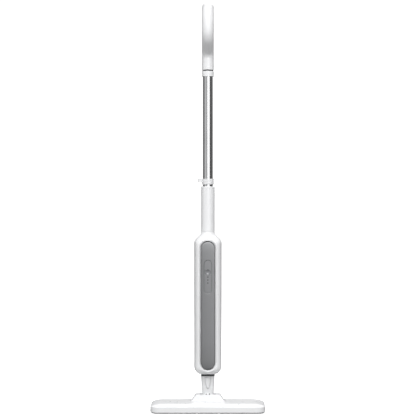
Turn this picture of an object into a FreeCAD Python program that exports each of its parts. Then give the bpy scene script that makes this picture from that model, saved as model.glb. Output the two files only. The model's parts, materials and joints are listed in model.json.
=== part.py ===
import FreeCAD, Part
import functools
import math
import os

# An upright steam floor scrubber. Millimetres, +Z up, -Y is the front that carries the control panel.
# The origin lies on the floor, under the middle of the cleaning head.

V = FreeCAD.Vector
X_AXIS = V(1, 0, 0)
Y_AXIS = V(0, 1, 0)
Z_AXIS = V(0, 0, 1)
FAR = 400.0

# ---- cleaning head ----
HEAD_LENGTH = 326.0
HEAD_DEPTH = 160.0
HEAD_FRONT_CORNER = 26.0
HEAD_REAR_CORNER = 38.0
HEAD_MIN_CORNER = 8.0
HEAD_CREASE_Z = 18.7
BEZEL_TOP_Z = 27.3
HEAD_WALL = 2.6
# height and inset of each section of the cover: the vertical wall, then the crowned top
COVER_WALL_SECTIONS = [(3.8, 0.6), (4.2, 0.15), (4.9, 0.0), (18.7, 0.0)]
COVER_TOP_SECTIONS = [(18.7, 0.0), (21.2, 3.2), (23.6, 9.0), (25.6, 19.0), (26.6, 34.0)]
PAD_THICKNESS = 3.7
PAD_INSET = 3.0
NOTCH_X = 31.0
NOTCH_WIDTH = 7.0
NOTCH_DEPTH = 14.0
BASE_BOTTOM_Z = 5.0
BASE_TOP_Z = 7.2
BASE_INSET = 6.0
STRIP_HALF_LENGTH = 140.0
STRIP_NEAR_Y = 42.0
STRIP_FAR_Y = 64.0
HEAD_SCREW_PLACES = [(-132, -42), (132, -42), (-132, 36), (132, 36), (-75, -52), (75, -52), (-75, 52), (75, 52)]

# ---- tilting yoke and its pins ----
TILT_Z = 20.0
ROLL_Z = 42.0
TILT_LIMIT_DEG = 58.0
ROLL_LIMIT_DEG = 30.0
WELL_HALF_X = 50.2
WELL_FLOOR_Z = 9.4
WELL_REAR_Y = 48.0
WELL_WALL = 2.4
TROUGH_RADIUS = 10.8
BARREL_RADIUS = 10.3
BARREL_HALF_X = 47.5
YOKE_TOP_Z = 48.0
YOKE_BLOCK_BOTTOM_Z = 27.8
YOKE_HALF_Y = 20.5
YOKE_HALF_X_TOP = 34.4
YOKE_HALF_X_BOTTOM = 48.0
COVER_FRONT_Y = -22.8
EAR_Z = 40.0
EAR_RADIUS = 13.0
PIN_RADIUS = 3.0
RUNNING_CLEARANCE = 0.05
POCKET_HALF_Y = 17.4
POCKET_RADIUS = 18.2
POCKET_FLOOR_Z = 30.9
EAR_SCREW_X = 4.7
EAR_SCREW_Z = 49.4

# ---- neck ----
NECK_HALF_X_LOW = 17.3
NECK_HALF_Y_LOW = 17.0
NECK_END_RADIUS = 10.5
NECK_STRAIGHT_Z = 54.0
NECK_TOP_Z = 100.3
NECK_HALF_X_TOP = 19.8
NECK_HALF_Y_TOP = 19.0
NECK_CORNER = 10.0
NECK_WALL = 2.2
SPIGOT_HALF_X = 15.0
SPIGOT_HALF_Y = 14.0
SPIGOT_TOP_Z = 128.0
BUTTON_CLEARANCE = 0.5
TONGUE_HALF_X = 8.0
TONGUE_TOP_Z = 97.0
TONGUE_TIP_Z = 64.5
TONGUE_POINT = 8.0
TONGUE_THICKNESS = 3.0
TONGUE_SPRING_Z = 87.0
SPRING_HALF_WIDTH = 2.0
SPRING_SEAT_HALF_X = 18.0

# ---- body ----
BODY_BOTTOM_Z = 107.0
BODY_TOP_Z = 513.5
BODY_HALF_X = 39.2
BODY_HALF_Y = 43.0
BODY_WALL = 2.6
OVAL_POINTS = 48
STRAIGHT_START = 7
# height, half width, half depth and squareness of each section of the body; it runs straight in between
BODY_SECTIONS = [
    (BODY_BOTTOM_Z, 27.9, 30.0, 2.8),
    (110.5, 31.5, 34.6, 2.9),
    (115.0, 35.3, 39.4, 3.1),
    (120.0, 38.2, 42.0, 3.3),
    (127.0, BODY_HALF_X, BODY_HALF_Y, 3.4),
    (133.5, BODY_HALF_X, BODY_HALF_Y, 3.4),
    (140.0, BODY_HALF_X, BODY_HALF_Y, 3.4),
    (452.0, BODY_HALF_X, BODY_HALF_Y, 3.4),
    (458.0, BODY_HALF_X, BODY_HALF_Y, 3.4),
    (464.0, BODY_HALF_X, BODY_HALF_Y, 3.4),
    (473.0, BODY_HALF_X, 42.7, 3.4),
    (482.0, 39.1, 41.6, 3.3),
    (489.0, 36.5, 38.4, 3.1),
    (495.5, 30.8, 32.6, 2.8),
    (501.5, 24.4, 25.8, 2.4),
    (507.0, 20.6, 21.2, 2.1),
    (513.5, 19.6, 19.6, 2.0),
]
RECESS_WIDTH = 50.7
RECESS_LOW_Z = 115.4
RECESS_HIGH_Z = 492.7
RECESS_STEP = 1.6
SEAT_WIDTH = 40.2
SEAT_LOW_Z = 120.5
SEAT_HIGH_Z = 485.4
SEAT_DEPTH = 5.0
TRAY_WALL = 2.6
TRAY_WIDTH = 54.0
PANEL_WIDTH = 39.4
PANEL_SINK = 1.2
PANEL_BACK = 4.6
CONTROL_WIDTH = 21.0
CONTROL_LOW_Z = 339.3
CONTROL_HIGH_Z = 432.2
CONTROL_BACK = 4.0
MODE_BUTTON_Z = 398.2
MODE_BUTTON_RADIUS = 8.0
DISH_RADIUS = 16.0
INDICATOR_RADIUS = 1.75
INDICATOR_Z = [384.8, 376.2, 367.6]
BODY_SCREW_PLACES = [(-31.2, 146.0), (31.2, 146.0), (-31.2, 455.0), (31.2, 455.0)]
CORD_INLET_Z = 456.0
CORD_INLET_RADIUS = 3.6

# ---- water tank ----
TANK_HALF_X = 32.0
TANK_LOW_Z = 172.0
TANK_HIGH_Z = 430.0
TANK_FRONT_Y = 14.0
TANK_BULGE = 5.0
TANK_WALL = 2.0
TANK_CORNER = 14.0
TANK_GAP = 0.6
DOCK_FLOOR_Y = 11.0
DOCK_WALL = 2.4
CAP_Z = 404.0
CAP_RADIUS = 14.5
CAP_SEAT_Y = 44.0
FILLER_RADIUS = 10.2
VALVE_Z = 190.0
VALVE_RADIUS = 5.0

# ---- parts inside the body ----
BOILER_SIZE = (40.0, 22.0, 120.0)
BOILER_CENTRE = (0.0, -16.0, 195.0)
PUMP_RADIUS = 17.0
PUMP_Y = -10.0
PUMP_LOW_Z = 285.0
PUMP_HIGH_Z = 345.0
HOSE_RADIUS = 3.5
HOSE_BORE = 2.0
STEAM_OUTLET_Y = -7.9

# ---- tube, socket, clip and handle ----
TUBE_RADIUS = 14.0
TUBE_WALL = 1.0
TUBE_LOW_Z = 524.0
TUBE_HIGH_Z = 1010.0
SOCKET_RADIUS = 19.15
SOCKET_TOP_Z = 642.7
SOCKET_FOOT_GAP = 0.5
SOCKET_BORE = 14.1
SOCKET_SPIGOT_RADIUS = 16.7
LOCK_Z = 600.0
CLIP_LOW_Z = 648.5
CLIP_HIGH_Z = 664.8
CLIP_RADIUS = 16.5
CLIP_HOOK_X = -22.6
CLIP_HOOK_RADIUS = 5.9
CLIP_HOOK_BORE = 3.7
COLLAR_LOW_Z = 958.0
COLLAR_HIGH_Z = 973.5
HANDLE_LOW_Z = 977.0
GRIP_RADIUS = 16.75
GRIP_WALL = 2.6
# the loop's centre line in the Y-Z plane, front limb: bend out of the neck, 45 degree run, belly, back, crown
NECK_BEND_Z = 1008.1
NECK_BEND_RADIUS = 36.75
BELLY_Y = -46.0
BELLY_Z = 1088.0
BELLY_RADIUS = 45.0
BACK_RADIUS = 85.0
CROWN_Z = 1120.5
CROWN_RADIUS = 34.2
CROWN_OVERRUN = 4.0

# turns a bar's surface seam away from the planes that its shells are split on
SEAM_TURN_DEG = 50.0

SCREW_RADIUS = 1.5
SCREW_HEAD_RADIUS = 3.0
SCREW_FIT = 0.05


# ---- shape helpers ----
def box(x0, x1, y0, y1, z0, z1):
    """A box between two corners."""
    return Part.makeBox(x1 - x0, y1 - y0, z1 - z0, V(x0, y0, z0))


def between(low_z, high_z, low_y=-FAR, high_y=FAR):
    """A wide slab that keeps only a stretch of height and depth."""
    return box(-FAR, FAR, low_y, high_y, low_z, high_z)


def cyl_x(radius, x0, x1, y, z):
    """A cylinder along X."""
    return Part.makeCylinder(radius, x1 - x0, V(x0, y, z), X_AXIS)


def cyl_y(radius, y0, y1, x, z):
    """A cylinder along Y."""
    return Part.makeCylinder(radius, y1 - y0, V(x, y0, z), Y_AXIS)


def cyl_z(radius, z0, z1, x=0.0, y=0.0):
    """A cylinder along Z."""
    return Part.makeCylinder(radius, z1 - z0, V(x, y, z0), Z_AXIS)


def ring_z(outer, inner, z0, z1, x=0.0, y=0.0):
    """A plain ring about a vertical axis."""
    return cyl_z(outer, z0, z1, x, y).cut(cyl_z(inner, z0 - 1.0, z1 + 1.0, x, y))


def ring_y(outer, inner, y0, y1, x, z):
    """A plain ring about an axis along Y."""
    return cyl_y(outer, y0, y1, x, z).cut(cyl_y(inner, y0 - 1.0, y1 + 1.0, x, z))


def fuse_all(shapes):
    """One solid from overlapping ones."""
    first = shapes[0]
    return first.fuse(shapes[1:]).removeSplitter()


def both_sides(shape):
    """The shape and its mirror image across the middle plane, as separate solids."""
    return Part.makeCompound([shape, shape.mirror(V(0, 0, 0), X_AXIS)])


def arc_through(start, middle, end):
    return Part.Arc(start, middle, end).toShape()


def bend_path(points, radius):
    """A wire of straight runs through the points, with a tangent arc of the radius at each inner point."""
    edges = []
    start = points[0]
    for before, corner, after in zip(points, points[1:], points[2:]):
        incoming = (corner - before).normalize()
        outgoing = (after - corner).normalize()
        turn = incoming.getAngle(outgoing)
        reach = radius * math.tan(turn / 2)
        arc_start = corner - incoming * reach
        arc_end = corner + outgoing * reach
        to_centre = (outgoing - incoming).normalize()
        middle = corner + to_centre * (radius / math.cos(turn / 2) - radius)
        edges.append(Part.LineSegment(start, arc_start).toShape())
        edges.append(arc_through(arc_start, middle, arc_end))
        start = arc_end
    edges.append(Part.LineSegment(start, points[-1]).toShape())
    return Part.Wire(edges)


def sweep_circle(wire, radius, start, direction):
    """A solid round bar along a wire."""
    profile = Part.Wire([Part.makeCircle(radius, start, direction)])
    profile.rotate(start, direction, SEAM_TURN_DEG)
    return wire.makePipeShell([profile], True, False)


def hose(points, bend_radius):
    """A hollow hose along straight runs and arcs."""
    direction = points[1] - points[0]
    wire = bend_path(points, bend_radius) if len(points) > 2 else Part.Wire([Part.makeLine(*points)])
    solid = sweep_circle(wire, HOSE_RADIUS, points[0], direction)
    return solid.cut(sweep_circle(wire, HOSE_BORE, points[0], direction))


def outline_xz(corners):
    """A closed wire in the X-Z plane. Each corner is x, z and the radius that rounds it, or 0."""
    edges = []
    count = len(corners)
    starts, ends, middles = [], [], []
    for k, (x, z, radius) in enumerate(corners):
        corner = V(x, 0, z)
        before = V(corners[k - 1][0], 0, corners[k - 1][1])
        after = V(corners[(k + 1) % count][0], 0, corners[(k + 1) % count][1])
        incoming = (corner - before).normalize()
        outgoing = (after - corner).normalize()
        turn = incoming.getAngle(outgoing)
        reach = radius * math.tan(turn / 2)
        starts.append(corner - incoming * reach)
        ends.append(corner + outgoing * reach)
        to_centre = (outgoing - incoming).normalize()
        middles.append(corner + to_centre * (radius / math.cos(turn / 2) - radius))
    for k, (x, z, radius) in enumerate(corners):
        if radius > 0:
            edges.append(arc_through(starts[k], middles[k], ends[k]))
        following = starts[(k + 1) % count]
        if ends[k].distanceToPoint(following) > 0.001:
            edges.append(Part.LineSegment(ends[k], following).toShape())
    return Part.Wire(edges)


def prism_y(corners, y0, y1):
    """An X-Z outline with rounded corners, extruded along Y."""
    face = Part.Face(outline_xz(corners))
    face.translate(V(0, y0, 0))
    return face.extrude(V(0, y1 - y0, 0))


def prism_x(points, x0, x1):
    """A Y-Z polygon extruded along X."""
    loop = [V(x0, y, z) for y, z in points]
    loop.append(loop[0])
    return Part.Face(Part.makePolygon(loop)).extrude(V(x1 - x0, 0, 0))


def pill_y(width, z0, z1, y0, y1):
    """A stadium standing on end, extruded along Y."""
    radius = width / 2
    middle = box(-radius, radius, y0, y1, z0 + radius, z1 - radius)
    return fuse_all([middle, cyl_y(radius, y0, y1, 0, z0 + radius), cyl_y(radius, y0, y1, 0, z1 - radius)])


def rounded_rect_wire(half_x, half_y, z, front_corner, rear_corner):
    """A level rounded rectangle. The front corners, at -Y, and the rear ones have their own radii."""
    k = math.sqrt(0.5)
    f, r = front_corner, rear_corner
    edges = [
        Part.LineSegment(V(-half_x + f, -half_y, z), V(half_x - f, -half_y, z)).toShape(),
        arc_through(
            V(half_x - f, -half_y, z),
            V(half_x - f + f * k, -half_y + f - f * k, z),
            V(half_x, -half_y + f, z),
        ),
        Part.LineSegment(V(half_x, -half_y + f, z), V(half_x, half_y - r, z)).toShape(),
        arc_through(
            V(half_x, half_y - r, z),
            V(half_x - r + r * k, half_y - r + r * k, z),
            V(half_x - r, half_y, z),
        ),
        Part.LineSegment(V(half_x - r, half_y, z), V(-half_x + r, half_y, z)).toShape(),
        arc_through(
            V(-half_x + r, half_y, z),
            V(-half_x + r - r * k, half_y - r + r * k, z),
            V(-half_x, half_y - r, z),
        ),
        Part.LineSegment(V(-half_x, half_y - r, z), V(-half_x, -half_y + f, z)).toShape(),
        arc_through(
            V(-half_x, -half_y + f, z),
            V(-half_x + f - f * k, -half_y + f - f * k, z),
            V(-half_x + f, -half_y, z),
        ),
    ]
    return Part.Wire(edges)


def rounded_rect_block(half_x, half_y, corner, z0, z1):
    face = Part.Face(rounded_rect_wire(half_x, half_y, z0, corner, corner))
    return face.extrude(V(0, 0, z1 - z0))


def screw(radius, head_radius, head_height, length, place, direction):
    """A pan-head screw whose head stands on place and whose shank runs along direction."""
    back = direction * -head_height
    head = Part.makeCylinder(head_radius, head_height, place + back, direction)
    shank = Part.makeCylinder(radius, length, place, direction)
    return fuse_all([head, shank])


# ---- head ----
def head_outline(inset, z):
    front = max(HEAD_FRONT_CORNER - inset, HEAD_MIN_CORNER)
    rear = max(HEAD_REAR_CORNER - inset, HEAD_MIN_CORNER)
    return rounded_rect_wire(HEAD_LENGTH / 2 - inset, HEAD_DEPTH / 2 - inset, z, front, rear)


def head_outer_solid(offset, drop):
    """The cover's outside shape, made smaller by offset all round and lowered by drop at the top."""
    wall = Part.makeLoft([head_outline(i + offset, z) for z, i in COVER_WALL_SECTIONS], True, True)
    if drop > 0:
        bottom_z, bottom_inset = COVER_WALL_SECTIONS[0]
        low = Part.Face(head_outline(bottom_inset + offset, 0.0)).extrude(V(0, 0, bottom_z))
        wall = box(-FAR, FAR, -FAR, FAR, 0, HEAD_CREASE_Z - drop).common(wall.fuse(low))
    crown = Part.makeLoft([head_outline(i + offset, z - drop) for z, i in COVER_TOP_SECTIONS], True, False)
    return fuse_all([wall, crown])


def make_head_cover():
    """The head's moulded top, with the well that the yoke tilts in and the raised pad around it."""
    outer = head_outer_solid(0.0, 0.0)
    bezel = Part.makeLoft(
        [rounded_rect_wire(59, 60, 21.0, 24, 24), rounded_rect_wire(54, 54, BEZEL_TOP_Z, 22, 22)], True, False
    )
    hollow = head_outer_solid(HEAD_WALL, HEAD_WALL)
    outer = fuse_all([outer, bezel])
    shell = outer.cut(hollow)
    wall_x = WELL_HALF_X + WELL_WALL
    well_block = box(-wall_x, wall_x, -20.0, WELL_REAR_Y + WELL_WALL, BASE_TOP_Z + 0.2, BEZEL_TOP_Z)
    pieces = [shell, well_block.common(outer)]
    for x, y in HEAD_SCREW_PLACES:
        pieces.append(cyl_z(4.0, BASE_TOP_Z + 0.2, 24.0, x, y).common(outer))
    cover = fuse_all(pieces)
    trough = cyl_x(TROUGH_RADIUS, -WELL_HALF_X, WELL_HALF_X, 0, TILT_Z)
    above_trough = box(-WELL_HALF_X, WELL_HALF_X, -TROUGH_RADIUS, TROUGH_RADIUS, TILT_Z, 60)
    rear_well = box(-WELL_HALF_X, WELL_HALF_X, 0, WELL_REAR_Y, WELL_FLOOR_Z, 60)
    hose_hole = cyl_z(6.0, 0.0, 15.0)
    pin_holes = cyl_x(PIN_RADIUS + 0.3, -wall_x - 1, wall_x + 1, 0, TILT_Z)
    cover = cover.cut([trough, above_trough, rear_well, hose_hole, pin_holes])
    for x, y in HEAD_SCREW_PLACES:
        cover = cover.cut(cyl_z(SCREW_RADIUS + SCREW_FIT, 0, 17.0, x, y))
    return cover


def make_head_base():
    """The flat plate that closes the head from below."""
    plate = Part.Face(head_outline(BASE_INSET, BASE_BOTTOM_Z)).extrude(V(0, 0, BASE_TOP_Z - BASE_BOTTOM_Z))
    plate = plate.cut(cyl_z(11.3, 0, 20))
    for x, y in HEAD_SCREW_PLACES:
        plate = plate.cut(cyl_z(SCREW_RADIUS + 0.3, 0, 20, x, y))
        plate = plate.cut(cyl_z(SCREW_HEAD_RADIUS + 0.3, 0, BASE_BOTTOM_Z + 1.2, x, y))
    return plate


def make_head_screws():
    seat_z = BASE_BOTTOM_Z + 1.2
    made = [screw(SCREW_RADIUS, SCREW_HEAD_RADIUS, 1.1, 9.0, V(x, y, seat_z), Z_AXIS) for x, y in HEAD_SCREW_PLACES]
    return Part.makeCompound(made)


def make_mop_pad():
    """The washable pad as a plain solid, with the two pull notches in its front edge."""
    pad = Part.Face(head_outline(PAD_INSET, 0.0)).extrude(V(0, 0, PAD_THICKNESS))
    front_y = -HEAD_DEPTH / 2
    half = NOTCH_WIDTH / 2
    for side in (-1, 1):
        x = side * NOTCH_X
        corners = [(x - half, -0.1, 0), (x + half, -0.1, 0), (x + 0.8, 4.5, 0), (x - 0.8, 4.5, 0)]
        pad = pad.cut(prism_y(corners, front_y - 1, front_y + NOTCH_DEPTH))
    return pad


def make_hook_strips():
    """The two self-gripping strips under the base that hold the pad."""
    strips = []
    for side in (-1, 1):
        low, high = sorted((side * STRIP_NEAR_Y, side * STRIP_FAR_Y))
        strips.append(box(-STRIP_HALF_LENGTH, STRIP_HALF_LENGTH, low, high, PAD_THICKNESS, BASE_BOTTOM_Z))
    return Part.makeCompound(strips)


def make_steam_nozzle():
    flange = cyl_z(11.0, BASE_BOTTOM_Z, BASE_TOP_Z)
    spout = cyl_z(5.5, BASE_TOP_Z, 8.8)
    return fuse_all([flange, spout]).cut(cyl_z(HOSE_BORE, 0, 20))


def make_pivot_blocks():
    """The two bearing blocks beside the well that hold the tilt pins."""
    inner_x = WELL_HALF_X + WELL_WALL + 0.4
    block = box(inner_x, inner_x + 8.0, -9.0, 9.0, BASE_TOP_Z + 0.05, 23.4)
    block = block.cut(cyl_x(PIN_RADIUS + 0.02, 0, FAR, 0, TILT_Z))
    return both_sides(block)


def make_tilt_pins():
    return both_sides(cyl_x(PIN_RADIUS, 41.5, 60.5, 0, TILT_Z))


# ---- yoke ----
def yoke_ear_outline(bottom_z, half_x_bottom):
    """The yoke's front outline without its ear: a low trapezoid with softened upper corners."""
    return [
        (-half_x_bottom, bottom_z, 0.0),
        (half_x_bottom, bottom_z, 0.0),
        (YOKE_HALF_X_TOP, YOKE_TOP_Z, 3.0),
        (-YOKE_HALF_X_TOP, YOKE_TOP_Z, 3.0),
    ]


def make_yoke():
    """The fork that tilts on the head and carries the neck on two pins."""
    slope = math.tan(math.radians(TILT_LIMIT_DEG))
    floor_gap = BARREL_RADIUS - 0.85
    cut_offset = floor_gap / math.cos(math.radians(TILT_LIMIT_DEG))
    rear_low_z = TILT_Z + slope * YOKE_HALF_Y - cut_offset
    section = [
        (-YOKE_HALF_Y, YOKE_BLOCK_BOTTOM_Z),
        (-YOKE_HALF_Y, YOKE_TOP_Z),
        (YOKE_HALF_Y, YOKE_TOP_Z),
        (YOKE_HALF_Y, rear_low_z),
        (cut_offset / slope, TILT_Z),
        (-BARREL_RADIUS + 0.1, TILT_Z),
        (-BARREL_RADIUS + 0.1, YOKE_BLOCK_BOTTOM_Z),
    ]
    block = prism_x(section, -BARREL_HALF_X, BARREL_HALF_X)
    front = yoke_ear_outline(YOKE_BLOCK_BOTTOM_Z, YOKE_HALF_X_BOTTOM)
    trapezoid = prism_y(front, -FAR, FAR)
    below = box(-BARREL_HALF_X, BARREL_HALF_X, -FAR, FAR, 0, YOKE_BLOCK_BOTTOM_Z)
    block = block.common(trapezoid.fuse(below))
    barrel = cyl_x(BARREL_RADIUS, -BARREL_HALF_X, BARREL_HALF_X, 0, TILT_Z)
    ears = cyl_y(EAR_RADIUS, -YOKE_HALF_Y, YOKE_HALF_Y, 0, EAR_Z).common(between(EAR_Z, FAR))
    yoke = fuse_all([block, barrel, ears])
    roll = math.radians(ROLL_LIMIT_DEG)
    low_x = POCKET_RADIUS * math.cos(roll)
    low_z = ROLL_Z - POCKET_RADIUS * math.sin(roll)
    high_z = YOKE_TOP_Z + 12.0
    high_x = (POCKET_RADIUS + (high_z - ROLL_Z) * math.sin(roll)) / math.cos(roll)
    swing = [(-low_x, low_z, 0), (low_x, low_z, 0), (high_x, high_z, 0), (-high_x, high_z, 0)]
    pocket = fuse_all([
        prism_y(swing, -POCKET_HALF_Y, POCKET_HALF_Y),
        cyl_y(POCKET_RADIUS, -POCKET_HALF_Y, POCKET_HALF_Y, 0, ROLL_Z).common(between(POCKET_FLOOR_Z, FAR)),
    ])
    yoke = yoke.cut(pocket)
    yoke = yoke.cut(cyl_z(6.0, 0, 40))
    yoke = yoke.cut(cyl_y(PIN_RADIUS + 0.02, -FAR, FAR, 0, ROLL_Z))
    for side in (-1, 1):
        low, high = sorted((side * 41.0, side * 60.0))
        yoke = yoke.cut(cyl_x(PIN_RADIUS + RUNNING_CLEARANCE, low, high, 0, TILT_Z))
        yoke = yoke.cut(cyl_y(1.05, -30, 0, side * EAR_SCREW_X, EAR_SCREW_Z))
    return yoke


def make_yoke_cover():
    """The smooth front face of the yoke, with the round ear that hides the roll pin."""
    inner_y = -YOKE_HALF_Y - 0.1
    front = prism_y(yoke_ear_outline(YOKE_BLOCK_BOTTOM_Z, YOKE_HALF_X_BOTTOM), COVER_FRONT_Y, inner_y)
    ear = cyl_y(EAR_RADIUS, COVER_FRONT_Y, inner_y, 0, EAR_Z).common(between(EAR_Z, FAR))
    cover = fuse_all([front, ear])
    for side in (-1, 1):
        cover = cover.cut(cyl_y(1.9, -30, 0, side * EAR_SCREW_X, EAR_SCREW_Z))
    return cover


def make_roll_pins():
    front = cyl_y(PIN_RADIUS, -YOKE_HALF_Y, -11.5, 0, ROLL_Z)
    rear = cyl_y(PIN_RADIUS, 11.5, YOKE_HALF_Y, 0, ROLL_Z)
    return Part.makeCompound([front, rear])


def make_ear_screws():
    seat_y = -YOKE_HALF_Y - 0.05
    places = [V(side * EAR_SCREW_X, seat_y, EAR_SCREW_Z) for side in (-1, 1)]
    return Part.makeCompound([screw(1.0, 1.8, 1.6, 2.6, place, Y_AXIS) for place in places])


def make_joint_hose():
    """The soft hose that carries steam through both pivots into the head."""
    return ring_z(HOSE_RADIUS, HOSE_BORE, 9.0, 63.8)


# ---- neck ----
def neck_solid(inset):
    """The neck's outside shape made smaller by inset: a tapering column with a rounded end that can roll."""
    corner = NECK_CORNER - inset / 2
    low = [NECK_HALF_X_LOW - inset, NECK_HALF_Y_LOW - inset]
    top = [NECK_HALF_X_TOP - inset, NECK_HALF_Y_TOP - inset]
    straight = rounded_rect_block(low[0], low[1], corner, ROLL_Z, NECK_STRAIGHT_Z)
    wires = [
        rounded_rect_wire(low[0], low[1], NECK_STRAIGHT_Z, corner, corner),
        rounded_rect_wire(top[0], top[1], NECK_TOP_Z, corner, corner),
    ]
    taper = Part.makeLoft(wires, True, True)
    radius = NECK_END_RADIUS - inset
    roll = math.radians(ROLL_LIMIT_DEG)
    cheek_z = ROLL_Z - (radius - low[0] * math.sin(roll)) / math.cos(roll)
    tangent_x = radius * math.sin(roll)
    tangent_z = ROLL_Z - radius * math.cos(roll)
    cheeks = [
        (-tangent_x, tangent_z, 0),
        (tangent_x, tangent_z, 0),
        (low[0], cheek_z, 0),
        (low[0], ROLL_Z + 1.0, 0),
        (-low[0], ROLL_Z + 1.0, 0),
        (-low[0], cheek_z, 0),
    ]
    end = cyl_y(radius, -low[1], low[1], 0, ROLL_Z)
    return fuse_all([straight, taper, end, prism_y(cheeks, -low[1], low[1])])


def tongue_outline(grow):
    return [
        (-TONGUE_HALF_X - grow, TONGUE_TOP_Z + grow, 1.5),
        (TONGUE_HALF_X + grow, TONGUE_TOP_Z + grow, 1.5),
        (TONGUE_HALF_X - 0.4 + grow, 82.0, 12.0),
        (0.0, TONGUE_TIP_Z - TONGUE_POINT - grow, 3.4),
        (-TONGUE_HALF_X + 0.4 - grow, 82.0, 12.0),
    ]


def neck_whole():
    """Both neck shells as one hollow piece, before it is split."""
    outer = neck_solid(0.0)
    inner = neck_solid(NECK_WALL).common(box(-FAR, FAR, -FAR, FAR, 0, NECK_TOP_Z - 2.0))
    spigot = rounded_rect_block(SPIGOT_HALF_X, SPIGOT_HALF_Y, 6.0, NECK_TOP_Z - 1.0, SPIGOT_TOP_Z)
    neck = fuse_all([outer, spigot]).cut(inner)
    neck = neck.cut(rounded_rect_block(SPIGOT_HALF_X - 2.4, SPIGOT_HALF_Y - 2.4, 4.0, 90.0, 140.0))
    boss_front = cyl_y(6.0, -NECK_HALF_Y_LOW + 1.0, -11.6, 0, ROLL_Z)
    boss_rear = cyl_y(6.0, 11.6, NECK_HALF_Y_LOW - 1.0, 0, ROLL_Z)
    seat = box(-SPRING_SEAT_HALF_X, SPRING_SEAT_HALF_X, -9.4, -7.8, TONGUE_SPRING_Z - 5, TONGUE_SPRING_Z + 5)
    neck = fuse_all([neck, boss_front, boss_rear, seat.common(outer)])
    neck = neck.cut(cyl_y(PIN_RADIUS + RUNNING_CLEARANCE, -FAR, FAR, 0, ROLL_Z))
    reach = 24.0
    spread = reach * math.tan(math.radians(ROLL_LIMIT_DEG + 12.0)) + 4.0
    hose_slot = [(-spread, ROLL_Z - reach, 0), (spread, ROLL_Z - reach, 0), (4.5, ROLL_Z, 0), (-4.5, ROLL_Z, 0)]
    return neck.cut(prism_y(hose_slot, -6.0, 6.0))


def make_neck_front_shell():
    shell = neck_whole().common(box(-FAR, FAR, -FAR, 0, 0, FAR))
    return shell.cut(prism_y(tongue_outline(BUTTON_CLEARANCE), -30, -12.0))


def make_neck_rear_shell():
    return neck_whole().common(box(-FAR, FAR, 0, FAR, 0, FAR))


def make_neck_seal():
    """The dark gasket between the neck and the body."""
    outer = rounded_rect_block(NECK_HALF_X_TOP, NECK_HALF_Y_TOP, NECK_CORNER, NECK_TOP_Z + 0.05, BODY_BOTTOM_Z - 0.05)
    return outer.cut(rounded_rect_block(SPIGOT_HALF_X + 0.1, SPIGOT_HALF_Y + 0.1, 6.0, 90, 140))


def make_neck_steam_tube():
    return ring_z(HOSE_RADIUS, HOSE_BORE, 64.0, 104.0)


def make_release_button():
    """The tongue-shaped catch on the front of the neck."""
    skin = neck_solid(0.0).cut(neck_solid(TONGUE_THICKNESS))
    return skin.common(prism_y(tongue_outline(0.0), -30, -10.0))


def make_release_spring():
    """The bent leaf that pushes the catch out: it lies on the seat and leans forward to the catch."""
    z = TONGUE_SPRING_Z
    leaf = [
        (-9.45, z + 4.0),
        (-9.45, z - 5.0),
        (-9.9, z - 5.4),
        (-15.3, z + 3.6),
        (-14.9, z + 3.9),
        (-10.0, z - 4.3),
        (-9.85, z - 4.0),
        (-9.85, z + 4.0),
    ]
    return prism_x(leaf, -SPRING_HALF_WIDTH, SPRING_HALF_WIDTH)


# ---- body ----
def oval_wire(half_x, half_y, power, z):
    """A smooth closed curve between an ellipse (power 2) and a rectangle (high power)."""
    points = []
    for k in range(OVAL_POINTS):
        angle = 2 * math.pi * k / OVAL_POINTS
        along_x = abs(math.cos(angle) / half_x) ** power
        along_y = abs(math.sin(angle) / half_y) ** power
        reach = (along_x + along_y) ** (-1.0 / power)
        points.append(V(reach * math.cos(angle), reach * math.sin(angle), z))
    curve = Part.BSplineCurve()
    curve.interpolate(points, PeriodicFlag=True)
    return Part.Wire([curve.toShape()])


@functools.lru_cache(maxsize=None)
def body_solid(inset):
    """The body's outside shape, made smaller by inset all round."""
    wires = [oval_wire(a - inset, b - inset, power, z) for z, a, b, power in BODY_SECTIONS]
    foot = Part.makeLoft(wires[:STRAIGHT_START], True, False)
    straight = Part.makeLoft(wires[STRAIGHT_START - 1:STRAIGHT_START + 1], True, True)
    shoulder = Part.makeLoft(wires[STRAIGHT_START:], True, False)
    return fuse_all([foot, straight, shoulder])


def body_layer(outside, inside, low_y, high_y):
    """The layer of the body between two depths below its surface."""
    return body_solid(outside).common(between(0, 600, low_y, high_y)).cut(body_solid(inside))


def body_hollow():
    return body_solid(BODY_WALL).common(between(BODY_BOTTOM_Z + 2.6, BODY_TOP_Z + 1))


def neck_opening():
    return rounded_rect_block(SPIGOT_HALF_X + 0.3, SPIGOT_HALF_Y + 0.3, 6.0, 90, 115)


def make_body_front_shell():
    """The front half of the body, with the long recess and the tray that carries the grey panel."""
    half = body_solid(0.0).common(between(0, 600, -FAR, 0))
    tray = pill_y(TRAY_WIDTH, 112.0, 496.0, -FAR, -12.0)
    tray = tray.common(body_layer(BODY_WALL - 0.3, SEAT_DEPTH + TRAY_WALL, -FAR, -12.0))
    pieces = [half.cut(body_hollow()), tray]
    for x, z in BODY_SCREW_PLACES:
        pieces.append(cyl_y(4.0, -26.0, -0.3, x, z).common(body_solid(BODY_WALL / 2)))
    shell = fuse_all(pieces)
    step = pill_y(RECESS_WIDTH, RECESS_LOW_Z, RECESS_HIGH_Z, -FAR, -20.0).cut(body_solid(RECESS_STEP))
    seat = pill_y(SEAT_WIDTH, SEAT_LOW_Z, SEAT_HIGH_Z, -FAR, -20.0).cut(body_solid(SEAT_DEPTH))
    shell = shell.cut([step, seat, neck_opening(), cyl_y(4.3, -60, -20, 0, MODE_BUTTON_Z)])
    for z in INDICATOR_Z:
        shell = shell.cut(cyl_y(INDICATOR_RADIUS + 0.2, -60, -20, 0, z))
    for x, z in BODY_SCREW_PLACES:
        shell = shell.cut(cyl_y(SCREW_RADIUS + SCREW_FIT, -22.0, 1.0, x, z))
    return shell


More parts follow.
